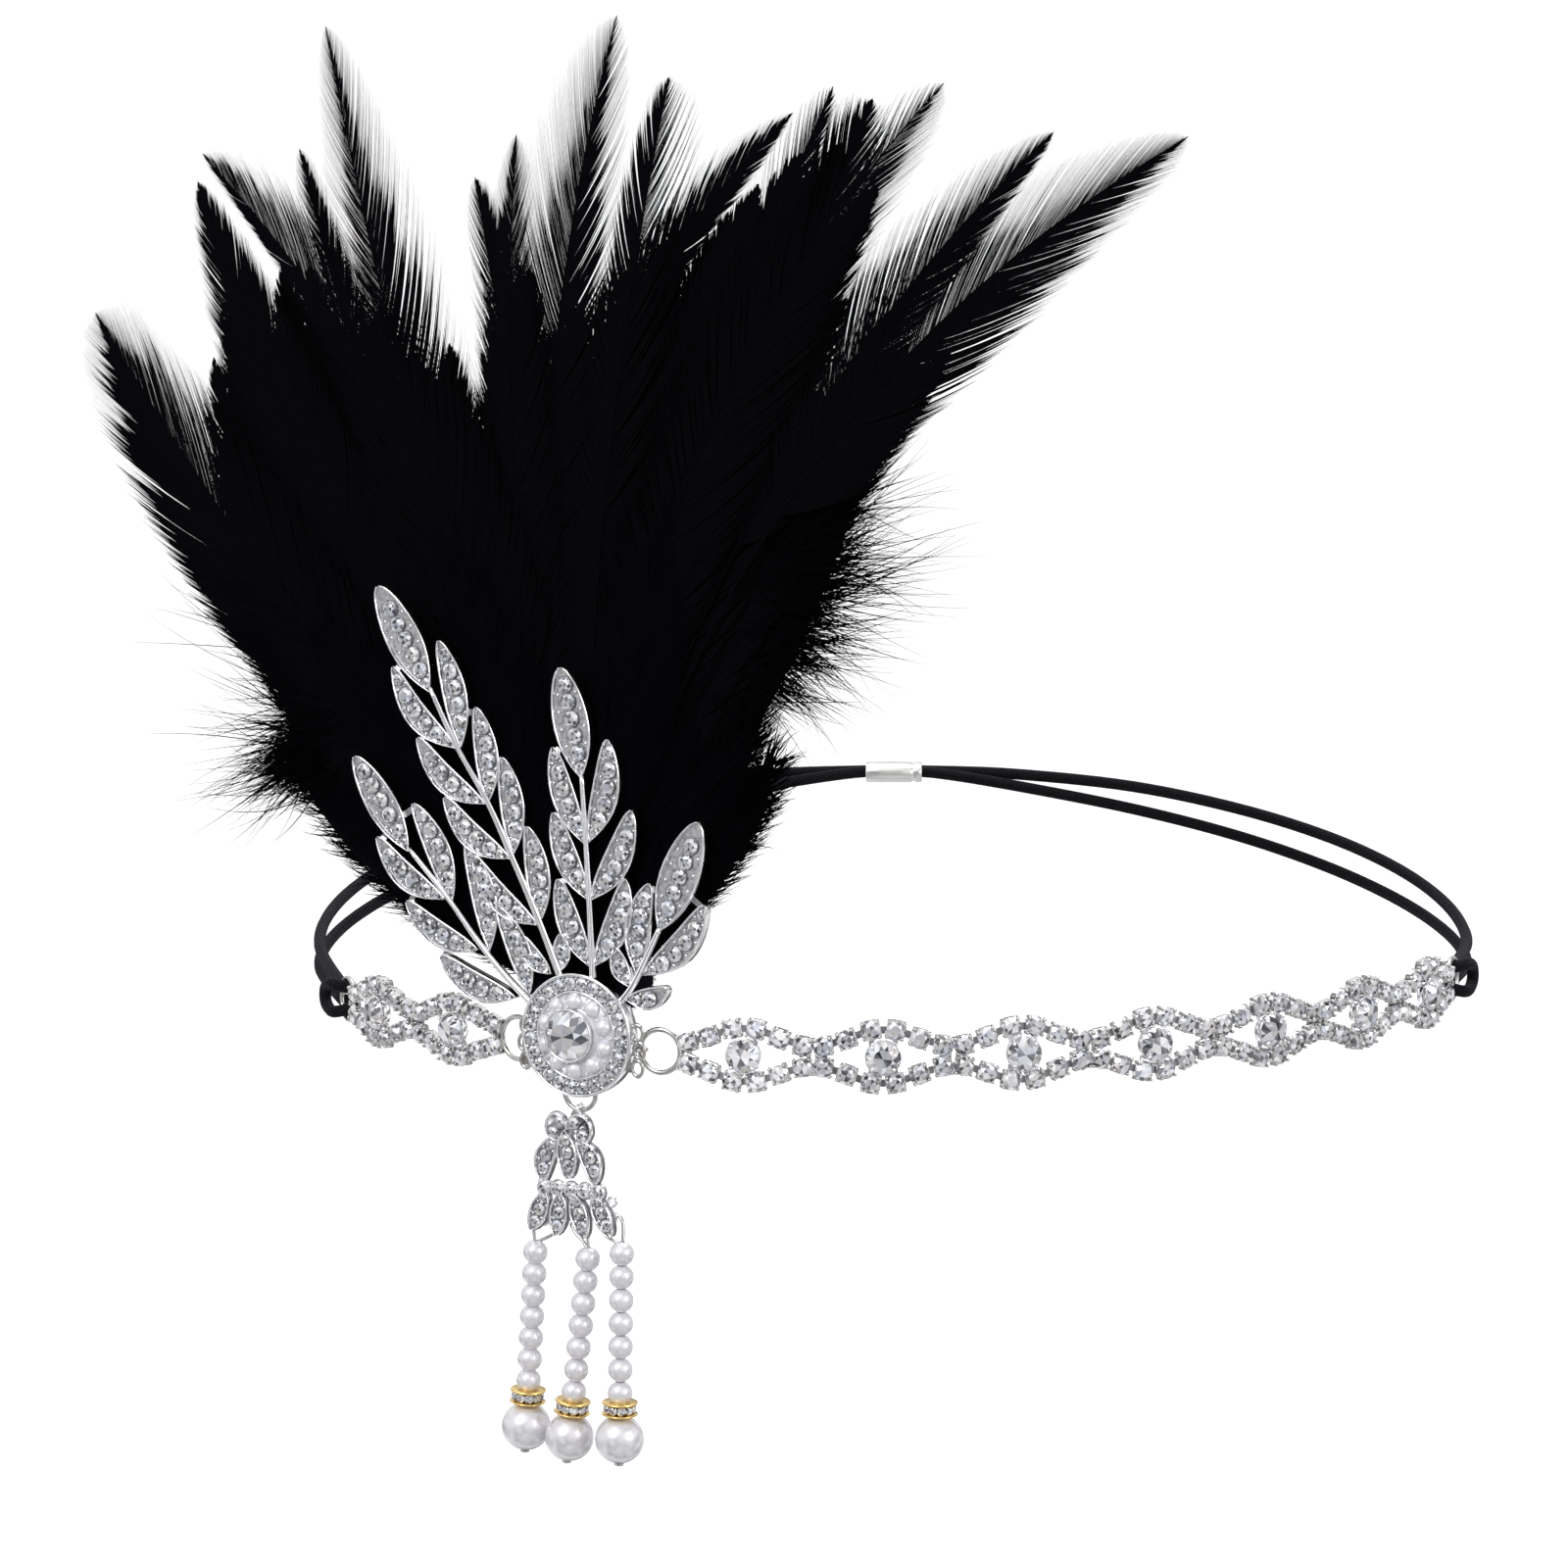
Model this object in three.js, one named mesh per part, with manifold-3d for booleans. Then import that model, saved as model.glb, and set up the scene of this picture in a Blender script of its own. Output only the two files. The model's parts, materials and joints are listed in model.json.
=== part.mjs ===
import * as THREE from 'three';
import { mergeVertices } from 'three/addons/utils/BufferGeometryUtils.js';
import Module from 'manifold-3d';

// Flapper headband, in millimetres. Z is up, the wearer's front is at -Y.
// The origin is the middle of the loop, level with the chain.

const wasm = await Module();
wasm.setup();

// Loop seen from above
const LOOP_HALF_WIDTH = 101.5;
const LOOP_FRONT_DEPTH = 104;
const LOOP_BACK_DEPTH = 78;
const LOOP_LEAN = 0.012;

// Chain of eye-shaped repeats
const REPEAT = 22.8;
const MEDALLION_AT = -54;
const FIRST_EYE_RIGHT = -24.5;
const FIRST_EYE_LEFT = -81.7;
const EYES_RIGHT = 7;
const EYES_LEFT = 2;
const CUP_FOOT = 1.1;
const CUP_GIRDLE = 1.65;
const CUP_TABLE = 0.95;
const CUP_WALL = 0.9;
const CUP_HEIGHT = 2.0;
const EYE_COLUMNS = [
  { along: -9.95, spread: 1.75 },
  { along: -6.0, spread: 2.9 },
  { along: -2.0, spread: 4.4 },
  { along: 2.0, spread: 4.4 },
  { along: 6.0, spread: 2.9 },
  { along: 9.95, spread: 1.75 },
];
const EYE_STONE_SIDES = 10;
const EYE_STONE = [
  { radius: 0, height: 0.1 },
  { radius: 2.6, height: 0.1 },
  { radius: 3.0, height: 2.15 },
  { radius: 1.7, height: 3.3 },
  { radius: 0, height: 3.3 },
];

// Rings soldered to both ends of each length of chain
const RING_RADIUS = 3.6;
const RING_WIRE = 0.45;
const RING_REACH = 4.74;
const RING_LEVEL = 0.5;

// Brooch: own axes across, up and out of its face
const BROOCH_TURN = 28;
const BROOCH_RISE = 2.1;
const BROOCH_PROUD = 1.2;
const PLATE_RADIUS = 6.2;
const PLATE_THICK = 1.2;
const STEM_RADIUS = 0.55;
const STEM_LEVEL = 0.65;
const LEAF_LENGTH = 16.6;
const LEAF_WIDTH = 5.0;
const TIP_LEAF_LENGTH = 18.8;
const TIP_LEAF_WIDTH = 5.8;
const BUD_LENGTH = 7;
const BUD_WIDTH = 3;
const LEAF_THICK = 1.8;
const LEAF_TABLE = 0.72;
const LEAF_SIDES = 6;
const LEAF_TAPER = 0.25;
const SPRAYS = [
  { footU: -9.6, footV: 5.0, neckU: -32.3, neckV: 28.5, splay: 24, bud: 0, pairs: [0.03, 0.36, 0.68] },
  { footU: -4.2, footV: 10.4, neckU: -28.3, neckV: 55.8, splay: 21, bud: 24, pairs: [0.17, 0.4, 0.6, 0.8] },
  { footU: 2.7, footV: 9.7, neckU: 0.4, neckV: 43.2, splay: 21, bud: 0, pairs: [0.06, 0.38, 0.66] },
  { footU: 8.7, footV: 6.9, neckU: 15.3, neckV: 18.6, splay: 17, bud: 42, pairs: [0.36] },
];
const LUG_RADIUS = 1.05;
const LUG_WIRE = 0.3;

// Medallion on the plate
const MEDALLION_SIDES = 16;
const RIM_STONES = 24;
const RIM_STONE_ORBIT = 8.55;
const RIM_STONE_RADIUS = 1.1;
const MEDALLION_DISH = [
  { radius: 0, height: 1.4 },
  { radius: 9.5, height: 1.4 },
  { radius: 10.2, height: 2.1 },
  { radius: 10.2, height: 3.0 },
  { radius: 9.8, height: 3.3 },
  { radius: 7.1, height: 3.3 },
  { radius: 7.1, height: 2.2 },
  { radius: 0, height: 2.2 },
];
const HALF_PEARLS = 10;
const HALF_PEARL_ORBIT = 5.7;
const HALF_PEARL_RADIUS = 1.35;
const PEARL_SEAT = 2.4;
const CENTRE_STONE = [
  { radius: 0, height: 2.4 },
  { radius: 3.4, height: 2.4 },
  { radius: 4.2, height: 4.6 },
  { radius: 4.2, height: 5.0 },
  { radius: 2.5, height: 6.1 },
  { radius: 0, height: 6.1 },
];

// Bail ring and drop
const BAIL_RADIUS = 2.95;
const BAIL_WIRE = 0.42;
const BAIL_TOP = -7.05;
const BAIL_PLANE = -0.2;
const DROP_BACK = 0.75;
const DROP_LEAVES = [
  { fromX: 0, fromY: 0.9, toX: 0, toY: -4.4, width: 2.6 },
  { fromX: 0, fromY: -2.6, toX: 0, toY: -13.0, width: 3.8 },
  { fromX: -3.0, fromY: -4.2, toX: -5.4, toY: -13.4, width: 3.4 },
  { fromX: 3.0, fromY: -4.2, toX: 5.6, toY: -13.4, width: 3.4 },
  { fromX: -4.6, fromY: -13.2, toX: -7.5, toY: -20.0, width: 3.2 },
  { fromX: -1.4, fromY: -13.4, toX: -2.4, toY: -20.9, width: 3.2 },
  { fromX: 1.7, fromY: -13.4, toX: 3.8, toY: -21.2, width: 3.2 },
  { fromX: 4.9, fromY: -13.2, toX: 7.8, toY: -19.9, width: 3.2 },
];
const DROP_LOBE_X = 2.4;
const DROP_LOBE_Y = -3.0;
const DROP_LOBE_SIDES = 10;
const DROP_LOBE = [
  { radius: 0, height: 0 },
  { radius: 2.2, height: 0 },
  { radius: 2.3, height: 1.1 },
  { radius: 1.8, height: 1.6 },
  { radius: 0, height: 1.6 },
];
const DROP_BAR_Y = -13.6;
const DROP_BAR_HALF = 6.6;
const DROP_BAR_WIDTH = 2.2;
const DROP_BAR_DEPTH = 1.3;

// Three bead strings hooked into eyes under the drop
const STRINGS = [
  { name: 'left', eyeX: -8.1, eyeY: -20.6, endX: -9.9, endY: -55.6 },
  { name: 'middle', eyeX: 2.3, eyeY: -21.0, endX: -1.7, endY: -56.2 },
  { name: 'right', eyeX: 8.5, eyeY: -20.3, endX: 7.9, endY: -55.3 },
];
const EYE_RADIUS = 1.0;
const EYE_WIRE = 0.4;
const PIN_RADIUS = 0.38;
const PIN_LOOP = 1.05;
const PIN_SIDES = 5;
const BEADS = 7;
const BEAD_PITCH = 3.67;
const BEAD_HOLE = 0.62;
const BEAD_SIDES = 10;
const BEAD_PROFILE = [
  { radius: BEAD_HOLE, height: -1.72 },
  { radius: 2.0, height: -0.75 },
  { radius: 2.0, height: 0.75 },
  { radius: BEAD_HOLE, height: 1.72 },
];
const RONDELLE_OFFSET = 5.35;
const RONDELLE_PROFILE = [
  { radius: BEAD_HOLE, height: -1.1 },
  { radius: 2.4, height: -1.1 },
  { radius: 3.0, height: -0.45 },
  { radius: 3.0, height: 0.45 },
  { radius: 2.4, height: 1.1 },
  { radius: BEAD_HOLE, height: 1.1 },
];
const DROP_PEARL_SIDES = 10;
const DROP_PEARL_PROFILE = [
  { radius: BEAD_HOLE, height: -3.9 },
  { radius: 2.7, height: -2.95 },
  { radius: 4.0, height: -0.75 },
  { radius: 4.0, height: 0.75 },
  { radius: 2.7, height: 2.95 },
  { radius: BEAD_HOLE, height: 3.9 },
];
const PIN_CAP = [
  { radius: 0, height: -5.1 },
  { radius: 0.7, height: -4.9 },
  { radius: 0.85, height: -4.3 },
  { radius: 0, height: -4.3 },
];

// Elastic and its crimp at the back
const CORD_RADIUS = 1.05;
const CORD_SIDES = 6;
const BACK_RISE = 22;
const STRAND_POINTS = 8;
const STRAND_SAG = 3.4;
const STRAND_HOLD = 1.8;
const STRAND_FALL = 1.6;
const STRAND_LAG = 1.2;
const STRAND_SPLIT = 1.15;
const CRIMP_LENGTH = 10.5;
const CRIMP_WALL = 0.5;
const CRIMP_ROOM = 0.2;
const CORD_END_GAP = 0.4;

// Plume and the felt pad behind it
const PLUME_U = 0.5;
const PLUME_V = 7;
const PLUME_DEPTH = -2.2;
const PAD_BACK = -6.5;
const PAD_THICK = 1.6;
const PAD_U = -2;
const PAD_V = 9;
const PAD_HALF_WIDTH = 12.5;
const PAD_HALF_HEIGHT = 7;
const BLADE_SIDES = 4;
const BLADE_FLATNESS = 0.16;
const FEATHERS = [
  { tipU: -97, tipV: 115, bow: -0.12, width: 13, back: 5 },
  { tipU: -76, tipV: 137, bow: -0.02, width: 9, back: 9 },
  { tipU: -75, tipV: 143, bow: 0.06, width: 10, back: 3 },
  { tipU: -56, tipV: 144, bow: -0.02, width: 9, back: 8 },
  { tipU: -50, tipV: 164, bow: -0.01, width: 12, back: 4 },
  { tipU: -22, tipV: 140, bow: -0.04, width: 8, back: 10 },
  { tipU: -13, tipV: 147, bow: 0, width: 9, back: 5 },
  { tipU: 5, tipV: 167, bow: -0.08, width: 13, back: 8 },
  { tipU: 15, tipV: 157, bow: -0.03, width: 12, back: 4 },
  { tipU: 38, tipV: 152, bow: -0.12, width: 9, back: 9 },
  { tipU: 45, tipV: 156, bow: -0.08, width: 11, back: 5 },
  { tipU: 52, tipV: 154.5, bow: -0.04, width: 13, back: 10 },
  { tipU: 65, tipV: 157, bow: -0.1, width: 12, back: 4 },
  { tipU: 84.5, tipV: 150, bow: -0.075, width: 13, back: 8 },
  { tipU: 107.6, tipV: 149.7, bow: -0.14, width: 14, back: 5 },
];
const LOCK_SIDES = 4;
const LOCK_FLATNESS = 0.55;
const LOCKS = [
  { tipU: -41, tipV: 25, width: 11, back: 2 },
  { tipU: -56, tipV: 30, width: 13, back: 4 },
  { tipU: -68, tipV: 38, width: 16, back: 11 },
  { tipU: -81, tipV: 52, width: 18, back: 8 },
  { tipU: -84, tipV: 70, width: 19, back: 19 },
  { tipU: -78, tipV: 92, width: 19, back: 8 },
  { tipU: -58, tipV: 103, width: 23, back: 23 },
  { tipU: -34, tipV: 106, width: 23, back: 8 },
  { tipU: -8, tipV: 108, width: 23, back: 25 },
  { tipU: 18, tipV: 109, width: 23, back: 8 },
  { tipU: 42, tipV: 105, width: 23, back: 23 },
  { tipU: 62, tipV: 98, width: 18, back: 8 },
  { tipU: 60, tipV: 80, width: 18, back: 19 },
  { tipU: 52, tipV: 65, width: 16, back: 8 },
  { tipU: 42, tipV: 51, width: 15, back: 15 },
  { tipU: 33, tipV: 39, width: 12, back: 4 },
  { tipU: 23, tipV: 26, width: 9, back: 1 },
];

const UP = new THREE.Vector3(0, 0, 1);

// Colours and finishes
const FINISHES = {
  silver: { color: '#c9cad0', roughness: 0.2, metalness: 1 },
  crystal: { color: '#dfe3ea', roughness: 0.06, metalness: 0.35 },
  pearl: { color: '#e9e7ee', roughness: 0.28, metalness: 0 },
  gilt: { color: '#c9a357', roughness: 0.25, metalness: 1 },
  nickel: { color: '#b9bac0', roughness: 0.42, metalness: 1 },
  elastic: { color: '#131318', roughness: 0.85, metalness: 0 },
  felt: { color: '#0d0d10', roughness: 0.95, metalness: 0 },
  feather: { color: '#08080c', roughness: 0.7, metalness: 0 },
};

const headband = new THREE.Group();
headband.name = 'flapper_headband';

// A closed solid out of any geometry: seams are merged and faces turned outwards.
function solidOf(geometry) {
  const bare = geometry.clone();
  bare.deleteAttribute('normal');
  bare.deleteAttribute('uv');
  const merged = mergeVertices(bare, 1e-4);
  const spots = merged.attributes.position;
  const order = merged.index.array;
  const corners = [];
  const a = new THREE.Vector3();
  const b = new THREE.Vector3();
  const c = new THREE.Vector3();
  let volume = 0;
  for (let i = 0; i < order.length; i += 3) {
    const [p, q, r] = [order[i], order[i + 1], order[i + 2]];
    if (p === q || q === r || r === p) {
      continue;
    }
    corners.push(p, q, r);
    a.fromBufferAttribute(spots, p);
    b.fromBufferAttribute(spots, q);
    c.fromBufferAttribute(spots, r);
    volume += a.dot(b.cross(c)) / 6;
  }
  if (volume < 0) {
    corners.reverse();
  }
  return new wasm.Manifold(new wasm.Mesh({
    numProp: 3,
    vertProperties: Float32Array.from(spots.array),
    triVerts: Uint32Array.from(corners),
  }));
}

function geometryOf(solid) {
  const mesh = solid.getMesh();
  const geometry = new THREE.BufferGeometry();
  geometry.setAttribute('position', new THREE.BufferAttribute(Float32Array.from(mesh.vertProperties), 3));
  geometry.setIndex(new THREE.BufferAttribute(Uint32Array.from(mesh.triVerts), 1));
  geometry.computeVertexNormals();
  return geometry;
}

// Soldered pieces become one solid, joined two by two.
function fuse(solids) {
  let rest = solids;
  while (rest.length > 1) {
    const next = [];
    for (let i = 0; i < rest.length; i += 2) {
      next.push(i + 1 < rest.length ? rest[i].add(rest[i + 1]) : rest[i]);
    }
    rest = next;
  }
  return rest[0];
}

function addNode(name, solid, finish) {
  const material = new THREE.MeshStandardMaterial(FINISHES[finish]);
  material.flatShading = true;
  const mesh = new THREE.Mesh(geometryOf(solid), material);
  mesh.name = name;
  headband.add(mesh);
  return mesh;
}

// A turned body round its own Z axis.
function turned(profile, sides) {
  const points = profile.map((row) => new THREE.Vector2(row.radius, row.height));
  const geometry = new THREE.LatheGeometry(points, sides);
  geometry.rotateX(Math.PI / 2);
  return geometry;
}

// A turned body with a hole down its axis: the profile closes on itself.
function turnedBead(profile, sides) {
  return turned([...profile, profile[0]], sides);
}

function wireRing(radius, wire, segments, sides) {
  return new THREE.TorusGeometry(radius, wire, sides, segments);
}

function placed(geometry, ...matrices) {
  const copy = geometry.clone();
  matrices.reverse().forEach((matrix) => copy.applyMatrix4(matrix));
  return copy;
}

function shift(x, y, z) {
  return new THREE.Matrix4().makeTranslation(x, y, z);
}

// Axes of a vertical face: along it, up, and out of it.
function faceFrame(centre, wayX, wayY) {
  const along = new THREE.Vector3(wayX, wayY, 0).normalize();
  const out = new THREE.Vector3().crossVectors(along, UP);
  return new THREE.Matrix4().makeBasis(along, UP, out).setPosition(centre);
}

const frontLine = new THREE.EllipseCurve(0, 0, LOOP_HALF_WIDTH, LOOP_FRONT_DEPTH, Math.PI, 2 * Math.PI);
frontLine.arcLengthDivisions = 4000;
const frontLength = frontLine.getLength();

// Frame on the chain's line, counted along it from the middle of the front.
function chainFrame(along) {
  const share = 0.5 + along / frontLength;
  const spot = frontLine.getPointAt(share);
  const way = frontLine.getTangentAt(share);
  return faceFrame(new THREE.Vector3(spot.x, spot.y, LOOP_LEAN * spot.x), way.x, way.y);
}

// A square bar from one point to another, lying flat against the given outward direction.
function barBetween(from, to, out, width, depth) {
  const along = to.clone().sub(from);
  const length = along.length();
  along.normalize();
  const side = new THREE.Vector3().crossVectors(out, along).normalize();
  const face = new THREE.Vector3().crossVectors(along, side);
  const middle = from.clone().add(to).multiplyScalar(0.5);
  const frame = new THREE.Matrix4().makeBasis(along, side, face).setPosition(middle);
  return placed(new THREE.BoxGeometry(length, width, depth), frame);
}

// A round bar along a smooth route. Steps are counted per route point, so tight bends get more.
class RouteCurve extends THREE.CatmullRomCurve3 {
  getUtoTmapping(share) {
    return share;
  }
}

function roundBar(points, radius, sides, stepsPerPoint) {
  const outline = new THREE.Shape();
  for (let i = 0; i < sides; i += 1) {
    const turn = (2 * Math.PI * i) / sides;
    const spot = [radius * Math.cos(turn), radius * Math.sin(turn)];
    if (i === 0) {
      outline.moveTo(...spot);
    } else {
      outline.lineTo(...spot);
    }
  }
  return new THREE.ExtrudeGeometry(outline, {
    steps: Math.round((points.length - 1) * stepsPerPoint),
    extrudePath: new RouteCurve(points, false, 'catmullrom', 0.5),
    bevelEnabled: false,
  });
}

// Chain

// A small cup with its stone: a square foot, an eight-sided girdle and an eight-sided table.
function cupRings(frame) {
  const ring = (sides, radius, height) => {
    const spots = [];
    for (let i = 0; i < sides; i += 1) {
      const turn = (2 * Math.PI * (i + 0.5)) / sides;
      const spot = new THREE.Vector3(radius * Math.cos(turn), radius * Math.sin(turn), height);
      spots.push(spot.applyMatrix4(frame));
    }
    return spots;
  };
  return {
    foot: ring(4, CUP_FOOT, 0),
    girdle: ring(8, CUP_GIRDLE, CUP_WALL),
    table: ring(8, CUP_TABLE, CUP_HEIGHT),
  };
}

// Wall of a cup that faces right, up, left or down, counted 0 to 3.
function cupWall(rings, facing) {
  const { foot, girdle } = rings;
  return [foot[(facing + 3) % 4], foot[facing], girdle[2 * facing], girdle[(2 * facing + 7) % 8]];
}

function addQuad(faces, a, b, c, d) {
  faces.push([a, b, c], [a, c, d]);
}

// Everything of a cup apart from the four walls where links may join.
function addCup(faces, rings) {
  const { foot, girdle, table } = rings;
  faces.push([foot[0], foot[2], foot[1]], [foot[0], foot[3], foot[2]]);
  for (let i = 0; i < 4; i += 1) {
    faces.push([foot[i], girdle[2 * i + 1], girdle[2 * i]]);
  }
  for (let i = 0; i < 8; i += 1) {
    const next = (i + 1) % 8;
    addQuad(faces, girdle[i], girdle[next], table[next], table[i]);
    if (i > 0 && i < 7) {
      faces.push([table[0], table[i], table[i + 1]]);
    }
  }
}

// A link between the facing walls of two cups.
function addLink(faces, a, b) {
  addQuad(faces, b[0], a[1], a[2], b[3]);
  addQuad(faces, a[0], b[1], b[2], a[3]);
  addQuad(faces, a[3], b[2], b[3], a[2]);
  addQuad(faces, a[0], a[1], b[0], b[1]);
}

function chainOut(along) {
  return new THREE.Vector3().setFromMatrixColumn(chainFrame(along), 2);
}

// Small cups of one length of chain, column after column.
function chainColumns(firstEye, eyes, way) {
  const columns = [];
  for (let eye = 0; eye < eyes; eye += 1) {
    EYE_COLUMNS.forEach((column) => {
      columns.push({ along: firstEye + way * eye * REPEAT + column.along, spread: column.spread });
    });
  }
  return columns.sort((a, b) => a.along - b.along);
}

function buildChain(firstEye, eyes, way) {
  const columns = chainColumns(firstEye, eyes, way);
  const last = columns.length - 1;
  const faces = [];
  const rows = [-1, 1].map((row) => columns.map((column, index) => {
    const before = columns[Math.max(index - 1, 0)];
    const after = columns[Math.min(index + 1, last)];
    const slope = Math.atan2(after.spread - before.spread, after.along - before.along);
    const frame = chainFrame(column.along).multiply(shift(0, row * column.spread, 0));
    return cupRings(frame.multiply(new THREE.Matrix4().makeRotationZ(row * slope)));
  }));
  columns.forEach((column, index) => {
    const joined = column.spread === EYE_COLUMNS[0].spread;
    rows.forEach((cups, row) => {
      const rings = cups[index];
      addCup(faces, rings);
      addQuad(faces, ...cupWall(rings, row === 0 ? 3 : 1));
      if (!joined) {
        addQuad(faces, ...cupWall(rings, row === 0 ? 1 : 3));
      }
      if (index < last) {
        addLink(faces, cupWall(rings, 0), cupWall(cups[index + 1], 2));
      } else {
        addQuad(faces, ...cupWall(rings, 0));
      }
      if (index === 0) {
        addQuad(faces, ...cupWall(rings, 2));
      }
    });
    if (joined) {
      addLink(faces, cupWall(rows[0][index], 1), cupWall(rows[1][index], 3));
    }
  });
  const stones = new THREE.BufferGeometry().setFromPoints(faces.flat());
  const ring = wireRing(RING_RADIUS, RING_WIRE, 12, 5);
  const ends = [columns[0].along - RING_REACH, columns[last].along + RING_REACH];
  const rings = ends.map((end) => placed(ring, chainFrame(end), shift(0, 0, RING_LEVEL)));
  const solid = fuse([stones, ...rings].map(solidOf));
  return { solid, inner: way > 0 ? ends[0] : ends[1], outer: way > 0 ? ends[1] : ends[0] };
}

const rightChain = buildChain(FIRST_EYE_RIGHT, EYES_RIGHT, 1);
const leftChain = buildChain(FIRST_EYE_LEFT, EYES_LEFT, -1);
addNode('band_right', rightChain.solid, 'silver');
addNode('band_left', leftChain.solid, 'silver');

const eyeStone = turned(EYE_STONE, EYE_STONE_SIDES);
for (let eye = 0; eye < EYES_RIGHT; eye += 1) {
  const frame = chainFrame(FIRST_EYE_RIGHT + eye * REPEAT);
  addNode(`eye_stone_right_${eye + 1}`, solidOf(placed(eyeStone, frame)), 'crystal');
}
for (let eye = 0; eye < EYES_LEFT; eye += 1) {
  const frame = chainFrame(FIRST_EYE_LEFT - eye * REPEAT);
  addNode(`eye_stone_left_${eye + 1}`, solidOf(placed(eyeStone, frame)), 'crystal');
}

// Brooch

const seat = chainFrame(MEDALLION_AT);
const broochTurn = THREE.MathUtils.degToRad(BROOCH_TURN);
const broochSpot = new THREE.Vector3().setFromMatrixPosition(seat);
broochSpot.z += BROOCH_RISE;
const broochOut = new THREE.Vector3(-Math.sin(broochTurn), -Math.cos(broochTurn), 0);
broochSpot.addScaledVector(broochOut, BROOCH_PROUD);
const brooch = faceFrame(broochSpot, Math.cos(broochTurn), -Math.sin(broochTurn));
const toBrooch = brooch.clone().invert();

// A leaf: a pointed bar with bevelled edges, lying from its root along +X.
function leafBar(length, width) {
  const half = length / 2;
  const profile = [
    { radius: 0, height: 0 },
    { radius: 1, height: 0 },
    { radius: LEAF_TABLE, height: LEAF_THICK },
    { radius: 0, height: LEAF_THICK },
  ];
  const geometry = turned(profile, LEAF_SIDES);
  geometry.rotateZ(Math.PI / 2);
  const spots = geometry.attributes.position;
  for (let i = 0; i < spots.count; i += 1) {
    const x = spots.getX(i);
    const outwards = LEAF_TAPER * (1 - x * x) * (1 - x);
    spots.setX(i, half + half * (x + outwards));
    spots.setY(i, (width / 2) * spots.getY(i));
  }
  return geometry;
}

function leafBetween(fromX, fromY, toX, toY, width, base) {
  const length = Math.hypot(toX - fromX, toY - fromY);
  const turn = Math.atan2(toY - fromY, toX - fromX);
  const geometry = leafBar(length, width);
  geometry.rotateZ(turn);
  geometry.translate(fromX, fromY, base);
  return geometry;
}

function leafFrom(rootX, rootY, turn, length, width, base) {
  const tipX = rootX + length * Math.cos(turn);
  const tipY = rootY + length * Math.sin(turn);
  return leafBetween(rootX, rootY, tipX, tipY, width, base);
}

const castingPieces = [];
const plateProfile = [
  { radius: 0, height: 0 },
  { radius: PLATE_RADIUS, height: 0 },
  { radius: PLATE_RADIUS, height: PLATE_THICK },
  { radius: 0, height: PLATE_THICK },
];
castingPieces.push(turned(plateProfile, MEDALLION_SIDES));
SPRAYS.forEach((spray) => {
  const rise = Math.atan2(spray.neckV - spray.footV, spray.neckU - spray.footU);
  const splay = THREE.MathUtils.degToRad(spray.splay);
  const foot = new THREE.Vector3(spray.footU, spray.footV, STEM_LEVEL);
  const neck = new THREE.Vector3(spray.neckU, spray.neckV, STEM_LEVEL);
  const inLeaf = new THREE.Vector3(Math.cos(rise), Math.sin(rise), 0).multiplyScalar(3);
  const inPlate = foot.clone().multiplyScalar(0.4).setZ(STEM_LEVEL);
  castingPieces.push(roundBar([foot.clone().sub(inLeaf), neck.clone().add(inLeaf)], STEM_RADIUS, 5, 1));
  castingPieces.push(roundBar([inPlate, foot], STEM_RADIUS, 5, 1));
  castingPieces.push(leafFrom(spray.neckU, spray.neckV, rise, TIP_LEAF_LENGTH, TIP_LEAF_WIDTH, 0.2));
  spray.pairs.forEach((share) => {
    const rootU = THREE.MathUtils.lerp(spray.footU, spray.neckU, share);
    const rootV = THREE.MathUtils.lerp(spray.footV, spray.neckV, share);
    [-1, 1].forEach((side) => {
      castingPieces.push(leafFrom(rootU, rootV, rise + side * splay, LEAF_LENGTH, LEAF_WIDTH, 0));
    });
  });
  if (spray.bud > 0) {
    const budTurn = THREE.MathUtils.degToRad(spray.bud);
    [-1, 1].forEach((side) => {
      const turn = rise + side * budTurn;
      castingPieces.push(leafFrom(spray.footU, spray.footV, turn, BUD_LENGTH, BUD_WIDTH, 0));
    });
  }
});

// Lugs: an eye for each chain ring and one for the bail.
function lugFor(end, side) {
  const nearest = new THREE.Vector3(-side * RING_RADIUS, 0, RING_LEVEL).applyMatrix4(chainFrame(end));
  const spot = nearest.applyMatrix4(toBrooch);
  const eye = wireRing(LUG_RADIUS, LUG_WIRE, 8, 5);
  eye.rotateX(Math.PI / 2);
  eye.translate(spot.x, spot.y, spot.z);
  const root = new THREE.Vector3(side * (PLATE_RADIUS - 1), spot.y, PLATE_THICK / 2);
  const tip = new THREE.Vector3(spot.x - side * LUG_RADIUS, spot.y, spot.z);
  const arm = barBetween(root, tip, UP, 1.4, 0.6);
  return [eye, arm];
}

castingPieces.push(...lugFor(rightChain.inner, 1));
castingPieces.push(...lugFor(leftChain.inner, -1));
const bailEye = wireRing(LUG_RADIUS, LUG_WIRE, 8, 5);
bailEye.rotateY(Math.PI / 2);
castingPieces.push(placed(bailEye, shift(0, BAIL_TOP, BAIL_PLANE)));
const casting = fuse(castingPieces.map(solidOf));
addNode('leaf_sprays', casting.transform(brooch.toArray()), 'silver');

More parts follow.
